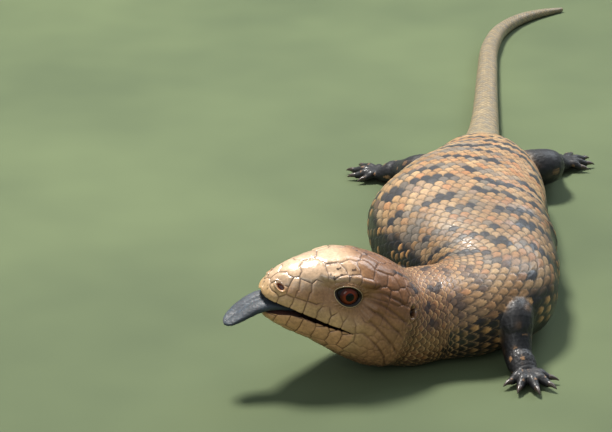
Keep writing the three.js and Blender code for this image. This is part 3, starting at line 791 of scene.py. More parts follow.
def gather(pieces):
    """Several pieces, each points and triangles, as one."""
    points, triangles = zip(*pieces)
    starts = np.cumsum([0, *(len(p) for p in points[:-1])])
    return np.concatenate(points), np.concatenate([t + start for t, start in zip(triangles, starts)])


def smooth_path(points, steps):
    """A rounded line through points with radii, as rows of x, y, z, radius."""
    points = np.asarray(points, float)
    ends = np.concatenate([[2 * points[0] - points[1]], points, [2 * points[-1] - points[-2]]])
    out = []
    for i in range(1, len(points)):
        a, b, c, d = ends[i - 1], ends[i], ends[i + 1], ends[i + 2]
        for t in np.linspace(0, 1, steps, endpoint=False):
            square = (2 * a - 5 * b + 4 * c - d) * t**2
            cube = (3 * b - a - 3 * c + d) * t**3
            out.append(0.5 * (2 * b + (c - a) * t + square + cube))
    out.append(points[-1])
    return np.array(out)


def limb_axes(limb):
    """The limb's centre line with radii, and one for each toe, whose last point is the claw's root."""
    root, bend, wrist = np.array(limb["joints"], float)
    palm = np.array([*limb["palm"], 4.6])
    mid = (wrist + palm) / 2
    mid[3] = 5.4
    shin = bend * 0.45 + wrist * 0.55
    shin[3] = bend[3] * 0.45 + wrist[3] * 0.5
    main = smooth_path([root, bend, shin, wrist, mid, palm], 9)
    heading = math.atan2(palm[1] - wrist[1], palm[0] - wrist[0])
    toes = []
    for i, length in enumerate(limb["toes"]):
        turn = heading + math.radians(limb["spread"]) * (i - 2) / 2
        way = np.array([math.cos(turn), math.sin(turn)])
        start = palm[:2] + way * 0.4
        toes.append(smooth_path([[*(start + way * (length + 1) * t), z, r] for t, z, r in TOE], 5))
    return main, toes


def mesh_object(name, points, triangles):
    """A smooth-shaded Blender mesh object in the shared frame, from layout points."""
    mesh = bpy.data.meshes.new(name)
    mesh.vertices.add(len(points))
    mesh.vertices.foreach_set("co", ((points - BELLY) / 1000).astype(np.float32).ravel())
    mesh.loops.add(len(triangles) * 3)
    mesh.loops.foreach_set("vertex_index", triangles.astype(np.int32).ravel())
    mesh.polygons.add(len(triangles))
    mesh.polygons.foreach_set("loop_start", np.arange(0, len(triangles) * 3, 3, dtype=np.int32))
    mesh.polygons.foreach_set("use_smooth", np.ones(len(triangles), bool))
    mesh.update(calc_edges=True)
    obj = bpy.data.objects.new(name, mesh)
    bpy.context.scene.collection.objects.link(obj)
    return obj


def read_mesh(obj):
    """The points, in the layout's millimetres, and triangles of an object with its modifiers."""
    made = obj.evaluated_get(bpy.context.evaluated_depsgraph_get()).to_mesh()
    made.calc_loop_triangles()
    points = np.empty(len(made.vertices) * 3, np.float32)
    made.vertices.foreach_get("co", points)
    triangles = np.empty(len(made.loop_triangles) * 3, np.int32)
    made.loop_triangles.foreach_get("vertices", triangles)
    return points.reshape(-1, 3).astype(float) * 1000 + BELLY, triangles.reshape(-1, 3).astype(np.int64)


def limb_object(name, limb):
    """A limb, its foot and toes melted into one closed surface."""
    main, toes = limb_axes(limb)
    squash = np.concatenate([np.ones(len(main) - 12), np.linspace(1, 0.62, 12)])  # the foot is flat
    obj = mesh_object(name, *gather([tube(main, 40, squash), *(tube(toe, 16) for toe in toes)]))
    melt = obj.modifiers.new("melt", "REMESH")
    melt.mode = "VOXEL"
    melt.voxel_size = MELT
    even = obj.modifiers.new("even", "SMOOTH")
    even.factor = 0.5
    even.iterations = 5
    return obj


def join_limbs(body_points, body_triangles):
    """The union of the body's grid and the limbs, as points and triangles."""
    body = mesh_object("grown", body_points, body_triangles)
    limbs = [limb_object("limb_" + name, limb) for name, limb in LIMBS.items()]
    for limb in limbs:
        join = body.modifiers.new("join", "BOOLEAN")
        join.operation = "UNION"
        join.solver = "MANIFOLD"
        join.object = limb
    points, triangles = read_mesh(body)
    for obj in [body, *limbs]:
        bpy.data.objects.remove(obj)
    return points, triangles


def keys_of(points):
    """One whole number for each place, to a thousandth of a millimetre."""
    grid = np.round((points - BELLY + 300) * 1000).astype(np.int64)
    return grid[:, 0] + grid[:, 1] * 2**21 + grid[:, 2] * 2**42


def same_points(points, pool):
    """For each point, its number in the pool, or -1."""
    pool_keys, keys = keys_of(pool), keys_of(points)
    order = np.argsort(pool_keys)
    spot = np.clip(np.searchsorted(pool_keys[order], keys), 0, len(pool) - 1)
    return np.where(pool_keys[order][spot] == keys, order[spot], -1)


def edges_of(triangles):
    """Each edge once, as a pair of points."""
    pairs = np.concatenate([triangles[:, [0, 1]], triangles[:, [1, 2]], triangles[:, [2, 0]]])
    return pairs[pairs[:, 0] < pairs[:, 1]]


def normals_of(points, triangles):
    """The surface's outward direction at each point."""
    a, b, c = (points[triangles[:, k]] for k in range(3))
    n = np.cross(b - a, c - a)
    total = np.zeros_like(points)
    for k in range(3):
        for axis in range(3):
            total[:, axis] += np.bincount(triangles[:, k], n[:, axis], len(points))
    return unit(total)


def relax(points, edges, weight, times):
    """Evens the points out where their weight is over 0."""
    part = edges[(weight[edges[:, 0]] > 0) | (weight[edges[:, 1]] > 0)]
    both = np.concatenate([part, part[:, ::-1]])
    count = np.maximum(np.bincount(both[:, 0], minlength=len(points)), 1)
    points = points.copy()
    active = weight > 0
    for _ in range(times):
        for axis in range(3):
            mean = np.bincount(both[:, 0], points[both[:, 1], axis], len(points)) / count
            points[active, axis] += (weight * 0.6 * (mean - points[:, axis]))[active]
    return points


def steps_from(marked, edges, most):
    """How many edges each point is from the marked ones, up to a limit."""
    away = np.where(marked, 0, most).astype(float)
    for _ in range(most):
        reach = np.minimum(away[edges[:, 0]], away[edges[:, 1]]) + 1
        np.minimum.at(away, edges[:, 0], reach)
        np.minimum.at(away, edges[:, 1], reach)
    return away


def limb_numbers(points):
    """Along and round the nearest limb or toe axis: length, turn and whether it is a toe."""
    best = np.full(len(points), 1e9)
    length, turn, toe = (np.zeros(len(points)) for _ in range(3))
    for limb in LIMBS.values():
        main, toes = limb_axes(limb)
        for is_toe, axis in [(0, main), *((1, t) for t in toes)]:
            low, high = axis[:, :3].min(0) - LIMB_MARGIN, axis[:, :3].max(0) + LIMB_MARGIN
            inside = np.where(((points > low) & (points < high)).all(1))[0]
            along_axis = lengths_along(axis[:, :3])
            for i in range(len(axis) - 1):
                v = points[inside] - axis[i, :3]
                way = axis[i + 1, :3] - axis[i, :3]
                t = np.clip(v @ way / (way @ way), 0, 1)
                off = v - t[:, None] * way
                radius = axis[i, 3] * (1 - t) + axis[i + 1, 3] * t
                score = np.linalg.norm(off, axis=1) / radius + (0.0 if is_toe else TOE_FIRST)
                better = score < best[inside]
                ids = inside[better]
                best[ids] = score[better]
                left = unit(np.cross([0, 0, 1.0], way))
                up = np.cross(unit(way), left)
                length[ids] = (along_axis[i] + t * (along_axis[i + 1] - along_axis[i]))[better]
                turn[ids] = (np.arctan2(off @ up, off @ left)[better] / (2 * math.pi)) % 1
                toe[ids] = is_toe
    return length, turn, toe


def srgb(*values):
    """A linear colour from 0 to 255 screen values."""
    v = np.array(values, float) / 255
    return np.where(v <= 0.04045, v / 12.92, ((v + 0.055) / 1.055) ** 2.4)


def mix(a, b, share):
    """From a at share 0 to b at share 1, for each point."""
    share = np.asarray(share)[..., None]
    return a * (1 - share) + b * share


def paint(base, *coats):
    """Lays coats, each a pigment and its share from 0 to 1 at each point, over a base colour."""
    for pigment, share in coats:
        base = mix(base, pigment, share)
    return base


# Pigments, as they look on screen; a few also carry painted shade or painted sheen, as said where they are
# used.
# The head's pale top tone is partly its own colour and partly painted sheen.
HEAD_TAN, HEAD_PALE_AND_SHEEN, GROOVE = srgb(158, 118, 80), srgb(196, 165, 133), srgb(60, 34, 20)
LIP_CREAM, JAW_PINK, THROAT = srgb(184, 150, 104), srgb(184, 140, 96), srgb(116, 84, 58)
BACK_TAN, BACK_PALE, BACK_ORANGE = srgb(148, 112, 74), srgb(176, 148, 110), srgb(156, 96, 54)
BAND_GREY, BAND_DARK, EDGE_GREY = srgb(100, 101, 98), srgb(34, 36, 43), srgb(44, 43, 34)
NECK_BROWN, NECK_PALE, FLANK_BLACK = srgb(114, 74, 40), srgb(198, 158, 108), srgb(22, 19, 17)
FLANK_SPOT, TAIL_TAN, BELLY_TAN = srgb(176, 130, 78), srgb(140, 124, 96), srgb(150, 114, 80)
LIMB_BLACK, LIMB_TAN, SOLE = srgb(26, 25, 27), srgb(140, 104, 68), srgb(96, 76, 62)
# The darkest of the mouth's colours is painted shade, for the depths of the mouth, the nostrils and the
# ears.
MOUTH_PINK, HOLLOW_SHADE, NOSTRIL_RED = srgb(112, 76, 68), srgb(46, 19, 18), srgb(140, 62, 40)
LID_CREAM, LID_DARK = srgb(188, 162, 120), srgb(30, 18, 12)
TONGUE_DARK, TONGUE_LIGHT, HORN = srgb(37, 43, 50), srgb(57, 65, 74), srgb(58, 46, 38)
IRIS_RED, IRIS_BROWN, IRIS_RIM = srgb(128, 48, 18), srgb(72, 25, 10), srgb(40, 16, 10)
PUPIL_BLACK, EYE_BROWN = srgb(6, 5, 5), srgb(22, 14, 12)
FLOOR_DARK, FLOOR_LIGHT = srgb(70, 82, 54), srgb(84, 96, 64)
# Along the lid, from its inner wall outwards: place, colour and share of it. Then comes the plain skin.
LID_LINES = [
    (0.0, LID_DARK, 1), (0.35, LID_DARK, 1), (0.375, LID_CREAM, 1), (0.42, LID_CREAM, 1),
    (0.45, LID_DARK, 1), (0.485, LID_DARK, 0.7), (0.52, LID_DARK, 0), (1.0, LID_DARK, 0),
]

# What the skin is like at each point: columns of one array.
HEIGHT, WETNESS, CREVICE, PIGMENT, LID_SHARE = 0, 1, 2, slice(3, 6), 6


def pit(local, centre, half, depth, lip):
    """A hollow in both sides of the head with a rim round it: height, and how far each point is in it."""
    hollow = np.zeros(len(local))
    rim = np.zeros(len(local))
    for side in (1, -1):
        v = local - np.array([centre[0], side * float(side_at(*centre)), centre[1]])
        share = np.sqrt((v[:, 0] / half[0]) ** 2 + (v[:, 2] / half[1]) ** 2 + (v[:, 1] / 6) ** 2)
        near = local[:, 1] * side > 0
        hollow = np.where(near, np.maximum(hollow, 1 - smooth(0.72, 1.02, share)), hollow)
        rim = np.where(near, np.maximum(rim, hump(share - 1.4, 0.28)), rim)
    return -depth * hollow + lip * rim * (hollow < 0.3), hollow


def cheek_folds(local):
    """How deep in one of the creases behind the eye each point is, from 0 to 1."""
    back, up = local[:, 0], local[:, 2]
    run = back - CREASE_START
    wander = 0.4 * lattice_noise(local, 5, 3)
    fold = np.zeros(len(local))
    for start, fall, bend in CREASES:
        fold = np.maximum(fold, hump(up - (start + fall * run - bend * run**2 + wander), 0.5))
    return fold * smooth(34.5, 38.5, back) * smooth(60, 50, back) * smooth(18, 16, up)


def brow_ridge(back, up):
    """The height of the ridge over the eye and of the hollow under it."""
    above = up - along(BROW, back)
    reach = smooth(13, 19, back) * smooth(42, 35, back)
    return (0.9 * hump(above, 1.3) - 0.45 * hump(above + 2.3, 1.0)) * reach


def head_relief(local, lower, inside, rim):
    """The head's skin from its closed-mouth coordinates: rows of height, wetness, crevice and pigment; the
    pigment holds painted shade in the mouth, nostrils, ears and creases, and painted sheen on top.
    """
    back, up = local[:, 0], local[:, 2]
    edge, chance = shield_edges(local)
    cheek = smooth(32, 38, back) * smooth(16.5, 12, up)
    fold = cheek_folds(local)
    nostril, in_nostril = pit(local, *NOSTRIL)
    ear, in_ear = pit(local, *EAR)
    lids = smooth(1.62, 1.45, rim)
    beads = 0.1 * np.sin(np.arctan2(up - EYE[2], back - EYE[0]) * 26) * hump(rim - 1.33, 0.09)
    height = (0.26 * (1 - np.exp(-edge / 0.75)) - 0.16 * hump(edge, 0.24)) * (1 - 0.35 * cheek)
    lumps = 0.12 * lattice_noise(local, 3.2, 4) * smooth(0, 3, back)
    height = height - 0.5 * fold + lumps + brow_ridge(back, up)
    height = np.where(inside, 0, height * (1 - 0.9 * lids) + beads + nostril + ear)

    top = smooth(0.5, 0.86, up / np.maximum(along(TOP, back), 1))
    skin = paint(
        HEAD_TAN,
        # The pale top of the snout and the front of the crown: partly its own tone, partly painted sheen.
        (HEAD_PALE_AND_SHEEN, top * smooth(33, 21, back)),
        (LIP_CREAM, smooth(7, 3, up) * smooth(44, 32, back) * 0.8),
        (JAW_PINK, lower * smooth(48, 34, back)),
        (THROAT, smooth(-8, -13, up) * smooth(16, 44, back) * 0.8),
        (NECK_BROWN, smooth(25, 38, back) * (0.22 + 0.75 * smooth(4, 16, up))),
    )
    blotch = lattice_noise(local, 7, 5) * 0.5 + lattice_noise(local, 2.6, 6) * 0.5
    speck = smooth(0.42, 0.6, lattice_noise(local, 1.1, 8))
    speck = speck * smooth(0.0, 0.4, lattice_noise(local, 8, 9)) * top
    streak = smooth(0.25, 0.45, lattice_noise(local * [0.3, 1, 1], 3.0, 11))
    line = hump(edge, 0.2) * (1 - 0.7 * cheek)
    uneven = 0.85 + 0.35 * lattice_noise(local, 5, 12)
    skin = paint(
        skin * (1 + 0.2 * blotch + 0.22 * (chance - 0.5))[:, None],
        (GROOVE * 0.5, speck * 0.9),
        (BAND_DARK * 0.5, streak * smooth(40, 48, back) * smooth(10, 17, up) * 0.9),
        (GROOVE, np.clip(line * uneven * (1 - lids), 0, 1)),
        # Painted shade in the creases behind the eye.
        (GROOVE, np.clip(fold * 0.55, 0, 1)),
        (HEAD_TAN * 0.8, lids * 0.7),
        (NOSTRIL_RED, np.clip(in_nostril * 3, 0, 1)),
        # Painted shade deep in the nostrils and in the ears' holes.
        (HOLLOW_SHADE * 0.5, in_nostril**3 * 0.8),
        (HOLLOW_SHADE * 0.4, in_ear),
        (MOUTH_PINK, inside),
        # Painted shade, deepening towards the back of the mouth.
        (HOLLOW_SHADE, inside * smooth(4, 20, back)),
    )
    wet = np.where(inside, 0.9, 0.3 + 0.7 * top * smooth(46, 26, back))
    return np.column_stack([height, wet, np.clip(line * (1 - lids) + fold * 0.4, 0, 1), skin])


def scale_relief(look, amount):
    """The step of each overlapping scale, from low under the last one to high at its free edge."""
    share = look.behind / np.maximum(look.ahead + look.behind, 1e-3)
    rounded = smooth(-0.02, 0.28, look.ahead) * (1 - 0.3 * np.minimum(2 * np.abs(look.across), 1) ** 2)
    height = amount * look.size * (0.22 + 0.78 * share**0.85) * (0.35 + 0.65 * rounded)
    # How near the crevice under the last scale's edge: it dulls the gloss, and the colour is painted darker
    # there as shade.
    crevice = np.exp(-look.behind / (0.06 * look.size + 0.1))
    return height, crevice, share


def body_relief(points, s, turn):
    """The trunk's and tail's skin: rows of height, wetness, crevice and pigment; the pigment holds painted
    shade in the crevices under the scales.
    """
    look = BODY_ROWS.look(s, turn)
    height, crevice, share = scale_relief(look, BODY_STEP)
    chance, across = look.chance, np.abs(look.across)
    side = np.abs(((turn - 0.25 + 0.5) % 1) - 0.5) * 2  # 0 at the spine, 1 at the belly's middle
    trunk, neck, tail = smooth(*TRUNK_END, s), smooth(44, 6, s), smooth(*TRUNK_END[::-1], s)

    # These have one value for each whole scale, by its place on the body.
    total = BODY_ROWS.count[np.clip(look.number, 0, len(BODY_ROWS.count) - 1)]
    scale = np.stack([look.number * 3.0, look.column / total * 190, look.number * 0.0], -1)
    wander = 0.35 * lattice_noise(scale, 34, 22) + 0.16 * lattice_noise(scale, 11, 20)
    band = np.cos(2 * math.pi * (look.number / 4.4 + wander))
    cell = lattice_noise(scale * [1.3, 0.62, 1], 4.6, 23)
    broad = lattice_noise(scale * [0.4, 1, 1], 15, 27)
    warm = np.clip(0.4 + 0.7 * lattice_noise(scale, 6.5, 28) + 0.5 * (chance - 0.5), 0, 1)
    grey = smooth(-0.1, 0.6, 0.5 * band + 0.7 * cell + 0.45 * broad) * 0.75
    dark = smooth(0.34, 0.56, 0.55 * band + 0.75 * cell + 0.3 * (chance - 0.5)) * (1 - 0.7 * neck)
    nape = smooth(0.4, 0.55, lattice_noise(scale * [0.5, 1.5, 1], 5.0, 24))
    nape = nape * smooth(36, 10, s) * smooth(0.48, 0.3, side)
    line = 0.56 - 0.19 * smooth(4, 30, s) + 0.05 * smooth(80, 150, s)
    line = line + 0.03 * lattice_noise(scale, 9, 25) + 0.05 * (chance - 0.5)
    flank = smooth(line - 0.02, line + 0.04, side) * smooth(-4, 16, s) * trunk
    speckled = smooth(-0.15, 0.35, lattice_noise(scale, 6, 26) + 0.9 * (chance - 0.5))

    back = paint(
        BACK_TAN,
        (BACK_PALE, warm),
        (BACK_ORANGE, smooth(0.62, 0.95, chance) * 0.55),
        (BAND_GREY * (0.85 + 0.3 * chance)[:, None], grey),
        (BAND_DARK, dark * 0.92),
        (0.0, 0.3 * smooth(20, 46, s) * smooth(120, 74, s)),
        (NECK_BROWN * (0.8 + 0.4 * chance)[:, None], neck * 0.85),
        (BAND_DARK * 0.4, nape * 0.92),
    )
    tip = smooth(0.35, 0.9, share) * smooth(0.5, 0.2, across)
    spots = mix(FLANK_BLACK, FLANK_SPOT, speckled * tip * (0.3 + 0.65 * smooth(0.34, 0.0, side - line)))
    throat = mix(THROAT, FLANK_BLACK, smooth(-0.2, 0.2, cell))
    colour = paint(
        back,
        (spots, flank),
        (BELLY_TAN * 0.8, smooth(0.84, 0.94, side) * smooth(20, 50, s) * 0.8),
        (throat, smooth(0.56, 0.74, side) * smooth(30, 0, s) * 0.85),
    )
    tail_colour = mix(TAIL_TAN, BAND_GREY, smooth(0.1, 0.7, band + cell) * 0.45)
    tail_colour = tail_colour * (0.88 + 0.24 * chance)[:, None]
    colour = mix(tail_colour, colour, trunk)

    # Dark skin shows along the sides of each scale and where it comes out from under the last one, with
    # painted shade in the crevice there.
    lateral = hump((0.5 - across) * look.size, 0.7 * 0.55)
    outline = 0.9 * np.maximum(hump(look.behind, 0.75), lateral)
    seam = paint(
        EDGE_GREY,
        # Darker seams on the black flanks, and painted shade in the crevice under each scale's edge.
        (BAND_DARK * 0.5, np.clip(flank + crevice * 0.5, 0, 1)),
        (GROOVE * 0.8, neck),
    )
    seam = mix(mix(seam, EDGE_GREY * 1.3, tail), seam, trunk)
    rim = hump(look.ahead, 0.4) * neck * (1 - np.clip(nape * 2, 0, 1))
    colour = paint(colour, (seam, outline * (0.95 - 0.4 * tail)), (NECK_PALE, rim * 0.75))
    mottle = 0.5 * lattice_noise(points, 0.9, 35) + 0.5 * lattice_noise(points, 1.9, 36)
    colour = colour * (0.84 + 0.28 * share + 0.2 * mottle)[:, None]
    lumps = 0.5 * lattice_noise(points, 13, 31) * smooth(20, 60, s) * trunk
    wrinkle = lattice_noise(np.stack([s, side * 60 * 0.25, s * 0], -1), 3.6, 33)
    folds = wrinkle * 0.45 * smooth(52, 30, s) * smooth(0.3, 0.6, side)
    wet = 0.38 + 0.3 * lattice_noise(points, 6, 34) + 0.25 * neck
    return np.column_stack([height + lumps + folds, wet, crevice, colour])


def limb_relief(points):
    """The legs' and toes' skin: rows of height, wetness, crevice and pigment; the pigment holds painted
    shade in the crevices under the scales.
    """
    length, turn, toe = limb_numbers(points)
    height, crevice, chance, share = (np.zeros(len(points)) for _ in range(4))
    for is_toe, (size, count) in enumerate(LIMB_SCALES):
        shown = LIMB_SHOWN * size
        rows = int(LONGEST_LIMB / shown) + 2
        pattern = Rows(np.arange(rows) * LIMB_SHOWN * size, np.full(rows, shown), np.full(rows, count))
        pick = toe == is_toe
        look = pattern.look(length[pick], turn[pick])
        height[pick], crevice[pick], share[pick] = scale_relief(look, LIMB_STEP)
        chance[pick] = look.chance
    fleck = smooth(0.90, 0.97, chance) * smooth(0.2, 0.7, share)
    colour = paint(
        mix(LIMB_BLACK, LIMB_TAN, fleck * 0.75) * (0.7 + 0.6 * chance)[:, None],
        # Painted shade in the crevice where each scale comes out from under the last one.
        (LIMB_BLACK * 0.4, crevice * 0.8),
        (SOLE, smooth(1.3, 0.5, points[:, 2]) * 0.6),
    )
    return np.column_stack([height, np.full(len(points), 0.3), crevice, colour])


def attribute(obj, name, values):
    """Keeps a number or a colour for each point in the object's mesh."""
    if values.ndim == 1:
        made = obj.data.attributes.new(name, "FLOAT", "POINT")
        made.data.foreach_set("value", values.astype(np.float32))
    else:
        made = obj.data.attributes.new(name, "FLOAT_COLOR", "POINT")
        full = np.concatenate([values, np.ones((len(values), 1))], 1)
        made.data.foreach_set("color", np.clip(full, 0, 1).astype(np.float32).ravel())


def ease_bend(points, head, s, turn):
    """Draws the skin tight across the inner side of the neck's bend, where the rings crowd together."""
    pick = np.flatnonzero(~head & (s < 130))  # all these rings are of full count
    rings = points[pick].reshape(-1, 4 * QUARTER, 3)
    s = s[pick].reshape(rings.shape[:2])[:, 0]
    turn = turn[pick].reshape(rings.shape[:2])[0]
    reach = 26 / COARSE  # how many rings the smoothing runs over
    span = np.arange(-int(3 * reach), int(3 * reach) + 1)
    weights = np.exp(-0.5 * (span / reach) ** 2)
    weights = weights / weights.sum()
    index = np.clip(np.arange(len(rings))[:, None] + span, 0, len(rings) - 1)
    eased = sum(weights[k] * rings[index[:, k]] for k in range(len(span)))
    stretch = (smooth(4, 26, s) * smooth(112, 84, s))[:, None]
    share = stretch * (smooth(0.2, 0.36, turn) * smooth(0.78, 0.62, turn))
    points = points.copy()
    points[pick] = (rings + (eased - rings) * share[..., None]).reshape(-1, 3)
    return points


def build_skin():
    """The one skin: head, trunk and tail as a grid joined to the limbs, raised into shields and scales."""
    grid = build_body()
    s, turn = grid.numbers("s"), grid.numbers("turn")
    head, lower, inside = (grid.numbers(name) > 0.5 for name in ("head", "lower", "inside"))
    closed, triangles = grid.points(), grid.triangles()
    local, rim = closed.copy(), np.full(len(closed), NO_LID)
    outer, upper = head & ~inside, head & ~lower
    local[outer], rim[outer] = shape_eyes(local[outer])
    local[upper] = drop_lip(local[upper])
    places = local.copy()
    places[head] = head_point(local[head])
    places[lower] = head_point(swing_jaw(local[lower]))
    places = ease_bend(places, head, s, turn)

    look = body_relief(places, s, turn)
    # Over the back of the head the shields give way to the rows of the neck.
    share = np.maximum(smooth(-3, -8, s[head]), inside[head])
    look[head] = mix(look[head], head_relief(closed[head], lower[head], inside[head], rim[head]), share)
    # The ear's pit, with painted shade in its hole, also where the neck's rows take over.
    ear, in_ear = pit(closed[head], *EAR)
    look[head, HEIGHT] += ear * (1 - share)
    look[head, PIGMENT] = mix(look[head, PIGMENT], HOLLOW_SHADE * 0.6, in_ear * (1 - share))

    # The union keeps the grid's own points, in single precision; the rest are the limbs'.
    stored = ((places - BELLY) / 1000).astype(np.float32).astype(float) * 1000 + BELLY
    points, triangles = join_limbs(places, triangles)
    source = same_points(points, stored)
    limb = source < 0
    look = np.column_stack([look, rim])[source]
    look[limb] = np.column_stack([limb_relief(points[limb]), np.full(limb.sum(), NO_LID)])
    edges = edges_of(triangles)
    seam = np.zeros(len(points), bool)
    seam[edges[limb[edges[:, 0]] != limb[edges[:, 1]]].ravel()] = True
    away = steps_from(seam, edges, SEAM_STEPS)
    *fade, rounds = BLEND_SHAPE
    points = relax(points, edges, smooth(*fade, away), rounds)
    *fade, rounds = BLEND_COLOUR
    look[:, PIGMENT] = relax(look[:, PIGMENT], edges, smooth(*fade, away) * limb, rounds)
    far = smooth(0, 7, away)
    height = look[:, HEIGHT] * far + 0.16 * lattice_noise(points, 0.9, 51) * (1 - far)
    height = height + 0.035 * lattice_noise(points, 0.7, 52)
    points = points + normals_of(points, triangles) * height[:, None]
    points[:, 2] = np.maximum(points[:, 2], 0.0)

    skin = mesh_object("skin", points, triangles)
    attribute(skin, "pigment", look[:, PIGMENT])
    attribute(skin, "wetness", np.clip(look[:, WETNESS], 0, 1))
    attribute(skin, "crevice", np.clip(look[:, CREVICE], 0, 1))
    attribute(skin, "lid", np.minimum(look[:, LID_SHARE], 3))
    return skin


class Nodes:
    """A material's node tree, built by name."""

    def __init__(self, name):
        self.material = bpy.data.materials.new(name)
        self.material.use_nodes = True
        self.tree = self.material.node_tree
        self.shader = self.tree.nodes["Principled BSDF"]

    def add(self, kind, **values):
        """A new node with its inputs or settings."""
        node = self.tree.nodes.new(kind)
        for key, value in values.items():
            if key in node.inputs:
                node.inputs[key].default_value = value
            else:
                setattr(node, key, value)
        return node

    def link(self, source, target):
        """Joins two sockets."""
        self.tree.links.new(source, target)

    def feed(self, name, source):
        """Joins a socket to one of the shader's inputs."""
        self.link(source, self.shader.inputs[name])

    def set(self, **values):
        """Sets the shader's own values."""
        for key, value in values.items():
            self.shader.inputs[key.replace("_", " ")].default_value = value

    def read(self, name, output="Fac"):
        """One of the mesh's attributes."""
        return self.add("ShaderNodeAttribute", attribute_name=name).outputs[output]

    def noise(self, scale, detail=4.0):
        """The outputs of a noise in the object's own space."""
        place = self.add("ShaderNodeTexCoord")
        made = self.add("ShaderNodeTexNoise", Scale=scale, Detail=detail, Roughness=0.6)
        self.link(place.outputs["Object"], made.inputs["Vector"])
        return made.outputs

    def ramp(self, source, low, high, at=(0.0, 1.0)):
        """A value that goes from low to high as the source goes over the range at."""
        made = self.add("ShaderNodeMapRange")
        made.inputs["From Min"].default_value, made.inputs["From Max"].default_value = at
        made.inputs["To Min"].default_value, made.inputs["To Max"].default_value = low, high
        self.link(source, made.inputs["Value"])
        return made.outputs["Result"]

    def mix(self, factor, a, b, blend="MIX"):
        """The mix of two colours, each a socket or a pigment, by a socket or a fixed share."""
        made = self.add("ShaderNodeMix", data_type="RGBA", blend_type=blend)
        for name, value in (("Factor", factor), ("A", a), ("B", b)):
            if isinstance(value, bpy.types.NodeSocket):
                self.link(value, made.inputs[name])
            else:
                made.inputs[name].default_value = value if name == "Factor" else (*value, 1)
        return made.outputs["Result"]

    def mottle(self, source, dark, light, at):
        """Feeds the shader a colour between two pigments."""
        self.feed("Base Color", self.mix(self.ramp(source, 0, 1, at), dark, light))

    def bump(self, height, strength, distance):
        """Feeds the shader a fine relief."""
        made = self.add("ShaderNodeBump", Strength=strength, Distance=distance)
        self.link(height, made.inputs["Height"])
        self.feed("Normal", made.outputs["Normal"])


def skin_material():
    """Wet skin: painted colour, with painted shade in hollows, creases and crevices and a painted sheen on
    the head's top; a line round each lid, gloss where it is wet, dull crevices and fine pores.
    """
    nodes = Nodes("wet_scaled_skin")
    wetness = nodes.read("wetness")
    shade = nodes.add("ShaderNodeCombineColor")
    level = nodes.ramp(nodes.noise(900)["Fac"], 0.78, 1.2, (0.3, 0.7))
    for channel in ("Red", "Green", "Blue"):
        nodes.link(level, shade.inputs[channel])
    tone = nodes.mix(1.0, nodes.read("pigment", "Color"), shade.outputs["Color"], "MULTIPLY")
    lines = nodes.add("ShaderNodeValToRGB")
    stops = lines.color_ramp.elements
    while len(stops) < len(LID_LINES):
        stops.new(0.5)
    for stop, (place, colour, share) in zip(stops, LID_LINES):
        stop.position = place
        stop.color = (*colour, share)
    nodes.link(nodes.ramp(nodes.read("lid"), 0, 1, (0.8, 1.4)), lines.inputs["Fac"])
    nodes.feed("Base Color", nodes.mix(lines.outputs["Alpha"], tone, lines.outputs["Color"]))
    rough = nodes.add("ShaderNodeMath", operation="MULTIPLY_ADD")
    nodes.link(nodes.read("crevice"), rough.inputs[0])
    rough.inputs[1].default_value = 0.2
    nodes.link(nodes.ramp(wetness, 0.6, 0.34), rough.inputs[2])
    nodes.feed("Roughness", rough.outputs["Value"])
    nodes.feed("Coat Weight", nodes.ramp(wetness, 0.05, 0.75, (0.2, 1.0)))
    nodes.set(Coat_Roughness=0.16, IOR=1.42, Specular_IOR_Level=0.5)
    nodes.bump(nodes.noise(2600, 3)["Fac"], 0.35, 0.00008)
    return nodes.material


def horn_material():
    """The claws' dark horn, with uneven tone and a fine bump."""
    nodes = Nodes("claw_horn")
    fine = nodes.noise(700)["Fac"]
    nodes.mottle(fine, HORN * 0.72, HORN * 1.25, (0.3, 0.7))
    nodes.feed("Roughness", nodes.ramp(fine, 0.32, 0.48))
    nodes.set(Coat_Weight=0.3, Coat_Roughness=0.12)
    nodes.bump(fine, 0.5, 0.00006)
    return nodes.material


def build_tongue():
    """A broad flat tongue with a soft middle groove, rolled edges and fine papillae."""
    fine = smooth_path(TONGUE, 14)
    angle = np.linspace(0, 2 * math.pi, 96, endpoint=False)
    c, q = np.cos(angle), np.sin(angle)
    rings = []
    for i, (back, up, half, thick) in enumerate(fine):
        ahead, behind = fine[min(i + 1, len(fine) - 1)], fine[max(i - 1, 0)]
        tilt = math.atan2(behind[1] - ahead[1], behind[0] - ahead[0])
        shift = TONGUE_TURN * max(0.0, back / TONGUE[-1][0]) ** 2
        across = np.sign(c) * np.abs(c) ** 0.85 * half
        depth = np.sign(q) * np.abs(q) ** 0.85 * thick
        share = np.abs(across) / half
        depth = depth + 0.28 * thick * share**2 - 0.3 * thick * hump(across, 0.22 * half) * (q > 0)
        local = np.stack([back - math.sin(tilt) * depth, shift + across, up + math.cos(tilt) * depth], -1)
        rings.append(head_point(local))
    surface = Surface()
    surface.loft(rings, rings[0].mean(0), rings[-1].mean(0) + FORWARD * 0.25)
    points, triangles = surface.points(), surface.triangles()
    grain = 0.07 * lattice_noise(points, 0.6, 61) + 0.12 * lattice_noise(points, 3.0, 62)
    return mesh_object("tongue_flesh", points + normals_of(points, triangles) * grain[:, None], triangles)


def tongue_material():
    """The blue-grey tongue: matt, moist and a little translucent."""
    nodes = Nodes("blue_tongue")
    fine = nodes.noise(1100, 5)["Fac"]
    nodes.mottle(nodes.noise(160, 3)["Fac"], TONGUE_DARK, TONGUE_LIGHT, (0.35, 0.65))
    nodes.feed("Roughness", nodes.ramp(fine, 0.55, 0.75))
    nodes.set(Coat_Weight=0.08, Coat_Roughness=0.35, Subsurface_Weight=0.12, Subsurface_Scale=0.001)
    nodes.bump(fine, 0.4, 0.0001)
    return nodes.material


